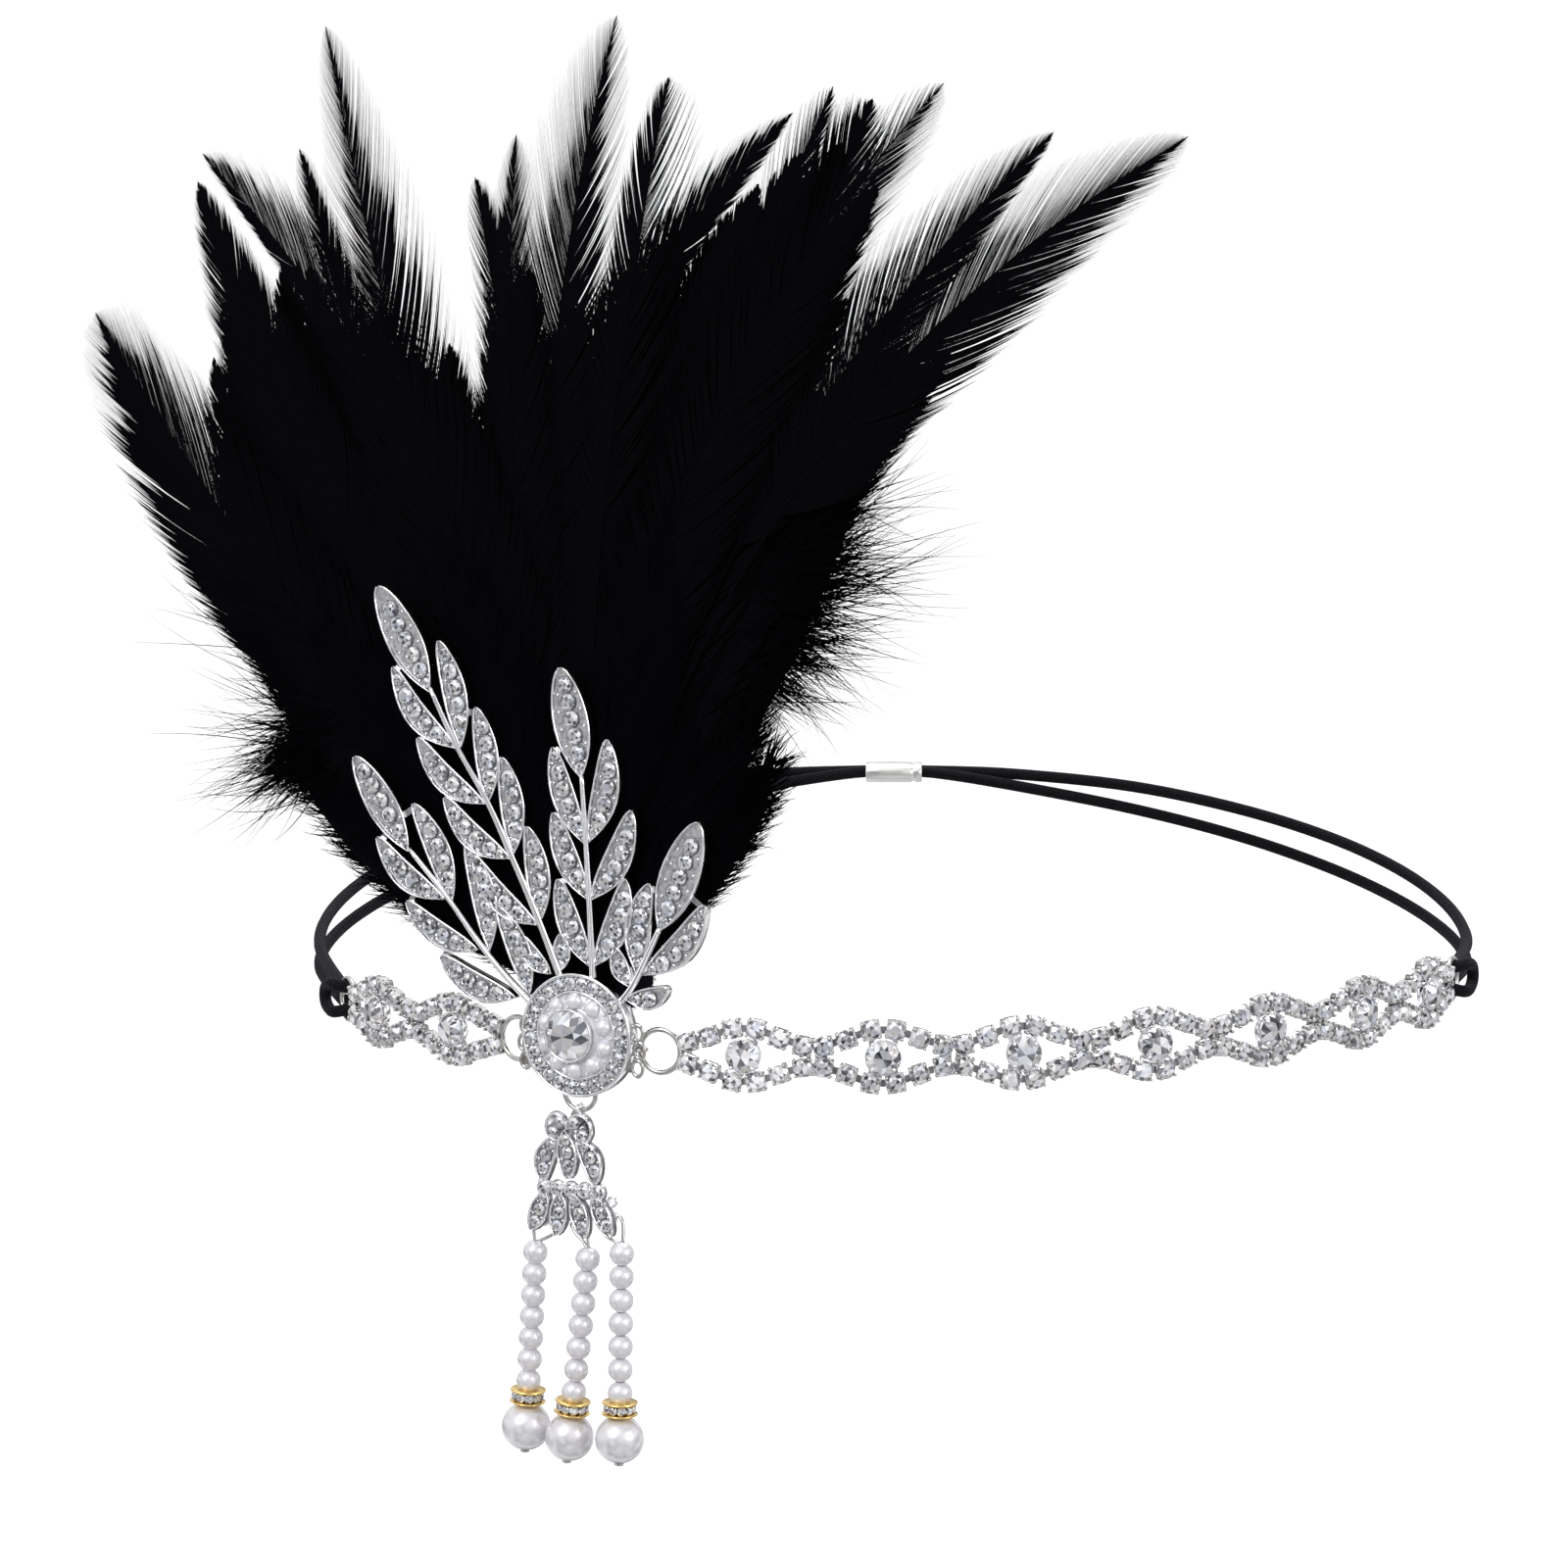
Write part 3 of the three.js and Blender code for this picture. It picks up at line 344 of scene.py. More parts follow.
def newGroup(name, inputs, outputs):  # a tuple is a colour, a number is a plain value
    group = bpy.data.node_groups.new(name, "ShaderNodeTree")
    for label, value in inputs.items():
        kind = "NodeSocketColor" if isinstance(value, tuple) else "NodeSocketFloat"
        group.interface.new_socket(name=label, in_out="INPUT", socket_type=kind).default_value = value
    for label in outputs:
        kind = "NodeSocketColor" if label == "Color" else "NodeSocketFloat"
        group.interface.new_socket(name=label, in_out="OUTPUT", socket_type=kind)
    nodes = group.nodes
    return group, nodes, group.links, nodes.new("NodeGroupInput"), nodes.new("NodeGroupOutput")


def platingGroup():  # cloudy polish and fine scratches of plated metal
    group, nodes, links, source, sink = newGroup(
        "platingPolish",
        {"Scale": 900.0, "Smooth": 0.12, "Worn": 0.24, "Deep": (0.55, 0.55, 0.57, 1),
         "Bright": (0.9, 0.9, 0.92, 1)},
        ("Color", "Roughness", "Height"))
    spot = newNode(nodes, "TexCoord")
    cloud = newNode(nodes, "TexNoise", {"Detail": 4.0})
    scratch = newNode(nodes, "TexNoise", {"Detail": 2.0})
    finer = newNode(nodes, "Math", {1: 6.0}, operation="MULTIPLY")
    tint = newNode(nodes, "Mix", data_type="RGBA")
    gloss = newNode(nodes, "MapRange", {"From Min": 0.3, "From Max": 0.7})
    join(links, (source, "Scale", cloud, "Scale"), (source, "Scale", finer, 0), (finer, 0, scratch, "Scale"),
         (spot, "Object", cloud, "Vector"), (spot, "Object", scratch, "Vector"),
         (cloud, "Fac", tint, "Factor"), (source, "Deep", tint, "A"), (source, "Bright", tint, "B"),
         (cloud, "Fac", gloss, "Value"), (source, "Smooth", gloss, "To Min"),
         (source, "Worn", gloss, "To Max"), (tint, "Result", sink, "Color"),
         (gloss, "Result", sink, "Roughness"), (scratch, "Fac", sink, "Height"))
    return group


def strandGroup():  # streaks along hairs and threads
    group, nodes, links, source, sink = newGroup(
        "strandStreaks", {"Scale": 700.0, "Dark": (0.003, 0.003, 0.005, 1), "Light": (0.012, 0.012, 0.02, 1)},
        ("Color",))
    spot = newNode(nodes, "TexCoord")
    streak = newNode(nodes, "TexNoise", {"Detail": 3.0})
    tint = newNode(nodes, "Mix", data_type="RGBA")
    join(links, (spot, "Object", streak, "Vector"), (source, "Scale", streak, "Scale"),
         (streak, "Fac", tint, "Factor"), (source, "Dark", tint, "A"), (source, "Light", tint, "B"),
         (tint, "Result", sink, "Color"))
    return group


plating = platingGroup()
streaks = strandGroup()


def bumpInto(nodes, links, source, output, shader, strength, distance):
    bump = newNode(nodes, "Bump", {"Strength": strength, "Distance": distance})
    join(links, (source, output, bump, "Height"), (bump, "Normal", shader, "Normal"))


def platedMaterial(name, deep, bright, smooth, worn, scale):
    material, nodes, links, shader = newMaterial(name)
    wear = newNode(nodes, "Group", node_tree=plating)
    setInputs(wear, {"Scale": scale, "Smooth": smooth, "Worn": worn})
    setInputs(wear, {"Deep": (*deep, 1), "Bright": (*bright, 1)})
    join(links, (wear, "Color", shader, "Base Color"), (wear, "Roughness", shader, "Roughness"))
    return material, nodes, links, shader, wear


def metalMaterial(name, deep, bright, smooth, worn, scale, bump):
    material, nodes, links, shader, wear = platedMaterial(name, deep, bright, smooth, worn, scale)
    setInputs(shader, {"Metallic": 1.0})
    bumpInto(nodes, links, wear, "Height", shader, bump, 0.00004)
    return material


def pearlMaterial(name, light, shade, roughness):
    material, _, _, shader, _ = platedMaterial(name, shade, light, roughness * 0.8, roughness * 1.2, 350.0)
    setInputs(shader, {"Metallic": 0.3, "Coat Weight": 1.0, "Coat Roughness": 0.1, "Sheen Weight": 0.12,
                       "Sheen Tint": (0.85, 0.82, 1.0, 1)})
    return material


def colourRamp(nodes, low, middle, high):  # each stop: place, red, green, blue
    ramp = newNode(nodes, "ValToRGB")
    stops = ramp.color_ramp.elements
    for stop, row in ((stops[0], low), (stops[1], high)):
        stop.position, stop.color = row[0], (*row[1:], 1)
    stops.new(middle[0]).color = (*middle[1:], 1)
    return ramp


def crystalMaterial():  # foiled stone: each facet carries a painted reflection, bright on some facets and dark on others
    material, nodes, links, shader = newMaterial("foiledCrystal")
    facet = newNode(nodes, "Attribute", attribute_name="facetShine")
    depth = colourRamp(nodes, (0, 0.035, 0.035, 0.045), (0.5, 0.5, 0.5, 0.55), (1, 0.97, 0.97, 1.0))
    # painted fire: noise tints the facets bluish and warm, standing in for light split by the cut
    spot = newNode(nodes, "TexCoord")
    fire = newNode(nodes, "TexNoise", {"Scale": 650.0})
    flash = colourRamp(nodes, (0.3, 0.86, 0.9, 1.0), (0.5, 1, 1, 1), (0.72, 1.0, 0.94, 0.88))
    mixed = newNode(nodes, "Mix", {"Factor": 1.0}, data_type="RGBA", blend_type="MULTIPLY")
    join(links, (spot, "Object", fire, "Vector"), (fire, "Fac", flash, "Fac"), (facet, "Fac", depth, "Fac"),
         (depth, "Color", mixed, "A"), (flash, "Color", mixed, "B"), (mixed, "Result", shader, "Base Color"))
    setInputs(shader, {"Metallic": 0.35, "Roughness": 0.07, "Coat Weight": 1.0, "Coat Roughness": 0.02,
                       "Coat IOR": 1.6})
    return material


def strandMaterial(name, dark, light, roughness, scale, sheen, sheenTint):
    material, nodes, links, shader = newMaterial(name)
    streak = newNode(nodes, "Group", node_tree=streaks)
    setInputs(streak, {"Scale": scale, "Dark": (*dark, 1), "Light": (*light, 1)})
    join(links, (streak, "Color", shader, "Base Color"))
    setInputs(shader, {"Roughness": roughness, "Specular IOR Level": 0.02, "Sheen Weight": sheen,
                       "Sheen Roughness": 0.4, "Sheen Tint": (*sheenTint, 1)})
    return material, nodes, links, shader


def elasticMaterial():  # braided sheath: two sets of threads crossing
    material, nodes, links, shader = strandMaterial(
        "wovenElastic", (0.006, 0.006, 0.008), (0.02, 0.02, 0.024), 0.75, 1600.0, 0.15, (0.6, 0.6, 0.7))
    mark = newNode(nodes, "Attribute", attribute_name="mark")
    parts = newNode(nodes, "SeparateXYZ")
    braid = newNode(nodes, "Math", operation="MAXIMUM")
    join(links, (mark, "Vector", parts, 0))
    for entry, threads in enumerate((8.0, -8.0)):
        slant = newNode(nodes, "Math", {1: threads}, operation="MULTIPLY_ADD")
        wave = newNode(nodes, "Math", operation="SINE")
        join(links, (parts, "Y", slant, 0), (parts, "X", slant, 2), (slant, 0, wave, 0),
             (wave, 0, braid, entry))
    bumpInto(nodes, links, braid, 0, shader, 0.6, 0.00012)
    return material


silver = metalMaterial("brightSilver", (0.7, 0.7, 0.72), (0.9, 0.9, 0.92), 0.1, 0.2, 500.0, 0.05)
bedSilver = metalMaterial("grainedBed", (0.3, 0.3, 0.32), (0.78, 0.78, 0.8), 0.2, 0.42, 1500.0, 0.5)
gilt = metalMaterial("giltPlate", (0.62, 0.42, 0.13), (0.9, 0.68, 0.3), 0.16, 0.3, 600.0, 0.1)
nickel = metalMaterial("satinNickel", (0.6, 0.6, 0.6), (0.8, 0.79, 0.77), 0.34, 0.48, 300.0, 0.1)
# painted shade: a dark metal for link bars, stone collars and lines round castings, standing in for the shade
# between parts
paintedShadeMetal = metalMaterial("shadedSeat", (0.1, 0.1, 0.11), (0.45, 0.45, 0.47), 0.25, 0.4, 900.0, 0.1)
steel = metalMaterial("pinWire", (0.35, 0.34, 0.33), (0.62, 0.61, 0.6), 0.18, 0.3, 700.0, 0.05)
crystal = crystalMaterial()
pearl = pearlMaterial("beadPearl", (0.9, 0.89, 0.92), (0.78, 0.76, 0.82), 0.36)
resin = pearlMaterial("pearlBed", (0.95, 0.95, 0.98), (0.8, 0.8, 0.87), 0.3)
hackle = strandMaterial("blackHackle", (0.0005, 0.0005, 0.0009), (0.0025, 0.0025, 0.004),
                        0.7, 900.0, 0.0, (0.4, 0.45, 0.8))[0]
fluffBlack = strandMaterial("blackFluff", (0.0003, 0.0003, 0.0007), (0.0015, 0.0015, 0.003),
                            0.8, 500.0, 0.0, (0.35, 0.4, 0.9))[0]
felt = strandMaterial("blackFelt", (0.003, 0.003, 0.006), (0.014, 0.014, 0.024),
                      0.95, 2200.0, 0.2, (0.4, 0.4, 0.8))[0]
elastic = elasticMaterial()
print("materials made:", len(bpy.data.materials))


# places taken from the frame

loop = {
    "halfWidth": 101.5,
    "frontDepth": 104.0,
    "backDepth": 78.0,
    "lean": 0.012,
    "repeat": 22.8,
    "firstRight": -24.5,
    "firstLeft": -81.7,
    "eyesRight": 7,
    "eyesLeft": 2,
}
angles = np.linspace(-math.pi / 2, math.pi / 2, 20001)
lineX = loop["halfWidth"] * np.sin(angles)
lineY = -loop["frontDepth"] * np.cos(angles)
lineS = np.concatenate([[0], np.cumsum(np.hypot(np.diff(lineX), np.diff(lineY)))])
lineS -= np.interp(0, angles, lineS)


def chainFrame(along):  # axes along the chain, up and outwards
    turn = np.interp(along, lineS, angles)
    x, y = np.interp(along, lineS, lineX), np.interp(along, lineS, lineY)
    way = unit((loop["halfWidth"] * math.cos(turn), loop["frontDepth"] * math.sin(turn), 0))
    return basis(way, (0, 0, 1), np.cross(way, (0, 0, 1)), (x, y, loop["lean"] * x))


hinges = {joint["name"]: joint for joint in frame["joints"]}
across = np.array(hinges["drop_tilt"]["axis"])
outward = np.array(hinges["bail_swing"]["axis"])
upright = np.array((0.0, 0.0, 1.0))
bail = {"top": -7.05, "plane": -0.2, "radius": 2.95, "wire": 0.42}
bailSpot = np.array(hinges["bail_swing"]["pos_m"]) / mm
broochSpot = bailSpot - bail["top"] * upright - bail["plane"] * outward
brooch = basis(across, upright, outward, broochSpot)


# elastic: each side is one doubled cord, hitched round the chain's outer ring

cordSize = {"radius": 1.05, "sides": 14, "backRise": 22.0, "points": 8, "sag": 3.4, "hold": 1.8, "fall": 1.6,
            "lag": 1.2, "split": 1.15, "crimpLength": 10.5, "endGap": 0.4}
endRing = {"radius": 3.6, "wire": 0.45, "reach": 4.97, "level": 0.5}
hitch = [  # along the chain from the ring's far side, outwards, up
    (5.2, -1.6, 1.3), (2.4, -1.85, 1.25), (0.2, -1.95, 1.3), (-1.65, -1.2, 1.55),
    (-2.05, 0.2, 1.95), (-1.25, 1.6, 2.3), (0.5, 2.1, 2.4), (2.0, 2.15, 1.55),
]
eyeColumns = [(-9.72, 1.75), (-5.9, 2.95), (-2.0, 4.4), (2.0, 4.4), (5.9, 2.95), (9.72, 1.75)]
lastColumn = eyeColumns[-1][0]
rightInner = loop["firstRight"] - lastColumn - endRing["reach"]
rightOuter = loop["firstRight"] + (loop["eyesRight"] - 1) * loop["repeat"] + lastColumn + endRing["reach"]
leftInner = loop["firstLeft"] + lastColumn + endRing["reach"]
leftOuter = loop["firstLeft"] - (loop["eyesLeft"] - 1) * loop["repeat"] - lastColumn - endRing["reach"]


def backPoint(turn, rise):
    depth = loop["backDepth"] if abs(turn) > math.pi / 2 else loop["frontDepth"]
    return np.array((loop["halfWidth"] * math.sin(turn), -depth * math.cos(turn), rise))


def elasticRoute(end, side):
    seat = chainFrame(end)
    bar = place((side * endRing["radius"], 0, endRing["level"]), seat)
    along, out = seat[:3, 0] * side, seat[:3, 2]

    def halfKnot(way):
        rows = []
        for step, proud, rise in hitch:
            slip = math.sqrt(endRing["radius"]**2 - rise**2) - endRing["radius"] if step < 1 else 0
            rows.append(bar + along * (step + slip) + out * proud + upright * way * rise)
        return rows

    first = halfKnot(1)[0]
    start = math.atan2(first[0] / loop["halfWidth"], -first[1] / loop["frontDepth"])

    def strand(way):
        rows = []
        for i in range(cordSize["points"]):
            share = i / cordSize["points"]
            turn = side * math.pi + (start - side * math.pi) * share
            climb = cordSize["backRise"] * (1 - share**cordSize["hold"])**cordSize["fall"]
            slack = -cordSize["sag"] * math.sin(math.pi * share**cordSize["lag"]) if way < 0 else 0
            level = climb + slack + way * cordSize["split"] * min(1, share * 4)
            apart = way * cordSize["split"] * max(0, 1 - share * 4)
            spot = backPoint(turn, level) + apart * np.array((math.sin(turn), -math.cos(turn), 0))
            if i == 0:
                rows.append(np.array((side * cordSize["endGap"], spot[1], spot[2])))
                spot[0] = side * (cordSize["crimpLength"] / 2 + 2)
            rows.append(spot)
        return rows

    bridge = bar + along * 2.6 + out * 2.2
    lower = strand(-1) + halfKnot(-1)
    return np.array(strand(1) + halfKnot(1) + [bridge] + lower[::-1])


def addElastic(name, end, side):
    path = smoothRoute(elasticRoute(end, side), 7)
    sides = cordSize["sides"]
    shape = tube(path, cordSize["radius"], sides)
    length = np.concatenate([[0], np.cumsum(np.linalg.norm(np.diff(path, axis=0), axis=1))])
    marks = np.zeros((len(path), sides, 3))
    marks[:, :, 0] = length[:, None] * 6.0  # threads per millimetre
    marks[:, :, 1] = around(sides)[None]
    heap = Heap()
    heap.add(shape[0], shape[1], marks=marks.reshape(-1, 3))
    piece = addPiece(name + "_cord", heap, elastic, [name])
    print(name, "cord length", round(float(length[-1])), "mm")


addElastic("elastic_right", rightOuter, 1)
addElastic("elastic_left", leftOuter, -1)


def addCrimp():  # flattened nickel tube with a creased end
    size = {"halfWide": 2.9, "halfTall": 1.75, "wall": 0.45, "half": 5.25}
    stations = [(-1.0, 0.93), (-0.97, 1.0), (-0.4, 1.0), (0.2, 1.0), (0.6, 1.0), (0.66, 0.93), (0.7, 0.86),
                (0.74, 0.93), (0.8, 1.0), (0.97, 1.0), (1.0, 0.93)]
    sides = 32
    turn = around(sides)
    flat = size["halfWide"] - size["halfTall"]

    def section(x, wide, tall):
        y = tall * np.cos(turn) + flat * np.sign(np.cos(turn)) * (np.abs(np.cos(turn)) > 1e-6)
        z = tall * np.sin(turn)
        return np.stack([np.full(sides, x), y * wide / (flat + size["halfTall"]), z], axis=-1)

    rows = [section(at * size["half"], size["halfWide"], size["halfTall"] * swell) for at, swell in stations]
    inner = [section(at * size["half"], size["halfWide"] - size["wall"],
                     (size["halfTall"] - size["wall"]) * swell) for at, swell in stations[::-1]]
    points = np.concatenate(rows + inner + [rows[0]])
    points += (0, loop["backDepth"], cordSize["backRise"])
    heap = Heap()
    heap.add(points, [gridFaces(len(rows) * 2 + 1, sides, True)])
    addPiece("crimp_tube", heap, nickel, ["crimp"])


addCrimp()
print("elastic and crimp made")


# chain of stones

cup = {"half": 1.64, "corner": 0.72, "height": 1.2, "stone": 1.68, "seat": 1.42, "prong": 0.28,
       "clawInset": 0.33, "clawFoot": 0.3, "clawRise": 0.5, "bright": 0.7}
eyeStone = {"radius": 2.85, "seat": 2.15, "bright": 0.62, "prong": 0.32, "clawOrbit": 2.72, "clawTop": 2.95,
            "foot": 0.6, "armOrbit": 2.7, "armEnd": 0.5, "armWidth": 0.9, "armDepth": 0.5,
            "wall": [(0.3, 0.1), (2.5, 0.1), (2.75, 0.35), (3.0, 2.0), (2.9, 2.12), (2.6, 1.7), (0.3, 1.4)]}
link = {"width": 1.15, "depth": 0.5, "level": 0.55}


def cupShape():  # square tray with cut corners
    half, flat = cup["half"], cup["half"] - cup["corner"]
    outline = np.array([(half, -flat), (half, flat), (flat, half), (-flat, half),
                        (-half, flat), (-half, -flat), (-flat, -half), (flat, -half)])
    levels = [(0.1, 0.0), (0.8, 0.0), (0.98, 0.15), (1.0, cup["height"]), (0.9, cup["height"] + 0.06),
              (0.85, cup["height"] - 0.3), (0.1, cup["height"] - 0.4)]
    rows = [np.column_stack([outline * scale, np.full(8, z)]) for scale, z in levels]
    return np.concatenate(rows), [gridFaces(len(levels), 8, True)]


def prongShape(x, y, low, high, wire):  # claw that bends over the stone
    path = [(x, y, low), (x, y, high - 0.35), (x * 0.95, y * 0.95, high - 0.1), (x * 0.82, y * 0.82, high)]
    return tube(path, [wire, wire, wire * 1.05, wire * 0.6], 6)


def chainColumns(firstEye, eyes, way):
    rows = [(firstEye + way * eye * loop["repeat"] + along, spread)
            for eye in range(eyes) for along, spread in eyeColumns]
    return sorted(rows)


def addChain(name, firstEye, eyes, way, inner, outer):
    metal, stones, claws, links, bigCups, bigStones = (Heap() for _ in range(6))
    columns = chainColumns(firstEye, eyes, way)
    tray = cupShape()
    corner = cup["half"] - cup["clawInset"]
    clawTop = cup["seat"] + cup["clawRise"]
    nearAlong, nearUp = eyeColumns[3]
    cups = []
    for row in (-1, 1):
        line = []
        for i, (along, spread) in enumerate(columns):
            before, after = columns[max(i - 1, 0)], columns[min(i + 1, len(columns) - 1)]
            slope = math.atan2(after[1] - before[1], after[0] - before[0])
            seat = chainFrame(along) @ shift(0, row * spread, 0) @ turnZ(row * slope)
            line.append(seat)
            addShape(metal, tray, seat, smooth=False)
            for x in (-corner, corner):
                for y in (-corner, corner):
                    addShape(claws, prongShape(x, y, cup["clawFoot"], clawTop, cup["prong"]), seat)
            addStone(stones, smallStone, seat @ shift(0, 0, cup["seat"]), cup["stone"], cup["bright"])
        cups.append(line)
    pairs = [pair for line in cups for pair in zip(line[:-1], line[1:])]
    pairs += [pair for pair, (along, spread) in zip(zip(*cups), columns) if spread == eyeColumns[0][1]]
    for here, there in pairs:
        a, b = (place((0, 0, link["level"]), seat) for seat in (here, there))
        addShape(links, barShape(a, b, here[:3, 2], link["width"], link["depth"]), smooth=False)
    for end in (inner, outer):
        ring = chainFrame(end) @ shift(0, 0, endRing["level"])
        addShape(claws, ringWire(endRing["radius"], endRing["wire"], 40, 12), ring)
    for eye in range(eyes):
        seat = chainFrame(firstEye + way * eye * loop["repeat"])
        addShape(bigCups, lathe(eyeStone["wall"], 28), seat)
        for turn in around(4, 0.5):  # four claws, each with an arm to the nearest small cup
            claw = prongShape(*polar(eyeStone["clawOrbit"], turn), eyeStone["foot"], eyeStone["clawTop"],
                              eyeStone["prong"])
            addShape(bigCups, claw, seat)
            x, y = polar(eyeStone["armOrbit"], turn)
            near = (math.copysign(nearAlong, x), math.copysign(nearUp, y), eyeStone["armEnd"])
            arm = barShape((x, y, eyeStone["foot"]), near, (0, 0, 1), eyeStone["armWidth"],
                           eyeStone["armDepth"])
            addShape(bigCups, arm, seat, smooth=False)
        middle = seat @ shift(0, 0, eyeStone["seat"])
        addStone(bigStones, largeStone, middle, eyeStone["radius"], eyeStone["bright"])
    side = name.split("_")[1]
    addPiece(name + "_cups", metal, silver, [name])
    addPiece(name + "_claws", claws, steel)
    # painted shade: the link bars are dark so the gaps between cups read as shade
    addPiece(name + "_links", links, paintedShadeMetal)
    addPiece(name + "_stones", stones, crystal)
    addPiece("eye_cups_" + side, bigCups, silver)
    addPiece("eye_stones_" + side, bigStones, crystal,
             ["eye_stone_%s_%d" % (side, eye + 1) for eye in range(eyes)])


addChain("band_right", loop["firstRight"], loop["eyesRight"], 1, rightInner, rightOuter)
addChain("band_left", loop["firstLeft"], loop["eyesLeft"], -1, leftInner, leftOuter)
print("chain made")


# jewelled leaf: raised rim, grained bed, a row of stones and metal grains

leafForm = {"rim": 0.44, "thick": 1.7, "bed": 1.0, "stations": 16, "stone": 1.36, "gap": 0.14, "grain": 0.3,
            "rowStart": 0.9, "rowEnd": 0.8, "tipGap": 0.6, "step": 0.2, "firstLeast": 0.5, "least": 0.45,
            "rimShare": 0.85, "fill": 0.98}


def leafHalf(share, width):
    rounding = 0.78 - 0.3 * share  # rounder at the tip
    return 0.5 * width * np.power(np.clip(np.sin(math.pi * share), 0, 1), rounding)


def leafAxis(share, length, bend):
    return np.stack([share * length, bend * length * np.sin(math.pi * share)], axis=-1)


def leafEdge(length, width, bend, reach):  # line round a leaf, reach outside its rim
    shares = np.linspace(0.03, 0.99, 14)
    middle = leafAxis(shares, length, bend)
    half = leafHalf(shares, width) + reach
    off = np.column_stack([0 * half, half])
    edge = np.vstack([middle + off, (middle - off)[::-1]])
    return np.vstack([edge, edge[:1]])


def addLeaf(heaps, matrix, length, width, bend=0.0, base=0.0, largest=leafForm["stone"]):
    shares = 0.5 - 0.5 * np.cos(np.linspace(0.02, 1, leafForm["stations"]) * math.pi)
    shares[-1] = 0.998
    middle = leafAxis(shares, length, bend)
    half = np.maximum(leafHalf(shares, width), 0.12)
    rim = np.minimum(leafForm["rim"], half * 0.62)
    top, bed = base + leafForm["thick"], base + leafForm["bed"]
    rows = [(-(half - rim * inset), level) for inset, level in (
        (0, base), (0, top - 0.35), (0.22, top - 0.06), (0.5, top), (0.78, top - 0.06), (1.0, bed))]
    rows += [(-reach, level) for reach, level in rows[::-1]]
    points = np.stack([np.column_stack([middle[:, 0], middle[:, 1] + reach, np.full(len(half), level)])
                       for reach, level in rows], axis=1)
    count = len(rows)
    faces = gridFaces(len(shares), count, True)
    inBed = np.arange(len(faces)) % count == 5
    points = place(points.reshape(-1, 3), matrix)
    caps = capFaces(count, (len(shares) - 1) * count)[:, [0, 2, 1]]
    heaps["rims"].add(points, [faces[~inBed][:, ::-1], caps])
    heaps["beds"].add(points, [faces[inBed][:, ::-1]])

    def room(along):  # half the width inside the rim
        return float(leafHalf(min(along / length, 0.99), width)) - leafForm["rim"] * leafForm["rimShare"]

    at = leafForm["rowStart"]
    placed = []
    while at < length - leafForm["rowEnd"]:
        radius = min(largest, room(at) * leafForm["fill"])
        if radius < leafForm["firstLeast"]:
            at += leafForm["step"]
            continue
        centre = at + radius
        radius = min(largest, room(centre) * leafForm["fill"])
        if centre + radius > length - leafForm["tipGap"] or radius < leafForm["least"]:
            break
        placed.append((centre, radius))
        at = centre + radius + leafForm["gap"]
    for centre, radius in placed:
        spot = leafAxis(np.array(centre / length), length, bend)
        addStone(heaps["stones"], smallStone, matrix @ shift(spot[0], spot[1], bed + 0.25), radius, 0.7)
        # painted shade: a dark collar round each stone
        collar = ringWire(radius * 1.03, 0.09, 16, 5)
        addShape(heaps["shadeOutlines"], collar, matrix @ shift(spot[0], spot[1], bed + 0.24))
    for (c1, r1), (c2, r2) in zip(placed[:-1], placed[1:]):
        between = (c1 + r1 + c2 - r2) / 2
        spot = leafAxis(np.array(between / length), length, bend)
        reach = (float(leafHalf(between / length, width)) - leafForm["rim"]) * 0.72
        for side in (-1, 1):
            grain = domeShape(leafForm["grain"], 0.34, 8)
            addShape(heaps["grains"], grain, matrix @ shift(spot[0], spot[1] + side * reach, bed))


# painted shade: the dark collars round stones and the lines round castings go in one part
jewelParts = {"rims": (silver, "silver"), "beds": (bedSilver, "silver"), "stones": (crystal, "crystal"),
              "grains": (silver, "silver"), "shadeOutlines": (paintedShadeMetal, "silver")}


def addJewel(name, heaps, node, body):
    for part, (material, slot) in jewelParts.items():
        addPiece(name + "_" + part, heaps[part], material, [node] if part == "rims" else (), body)


# brooch: leaves as (root across, root up, lean to the left of upright in degrees, length, width)

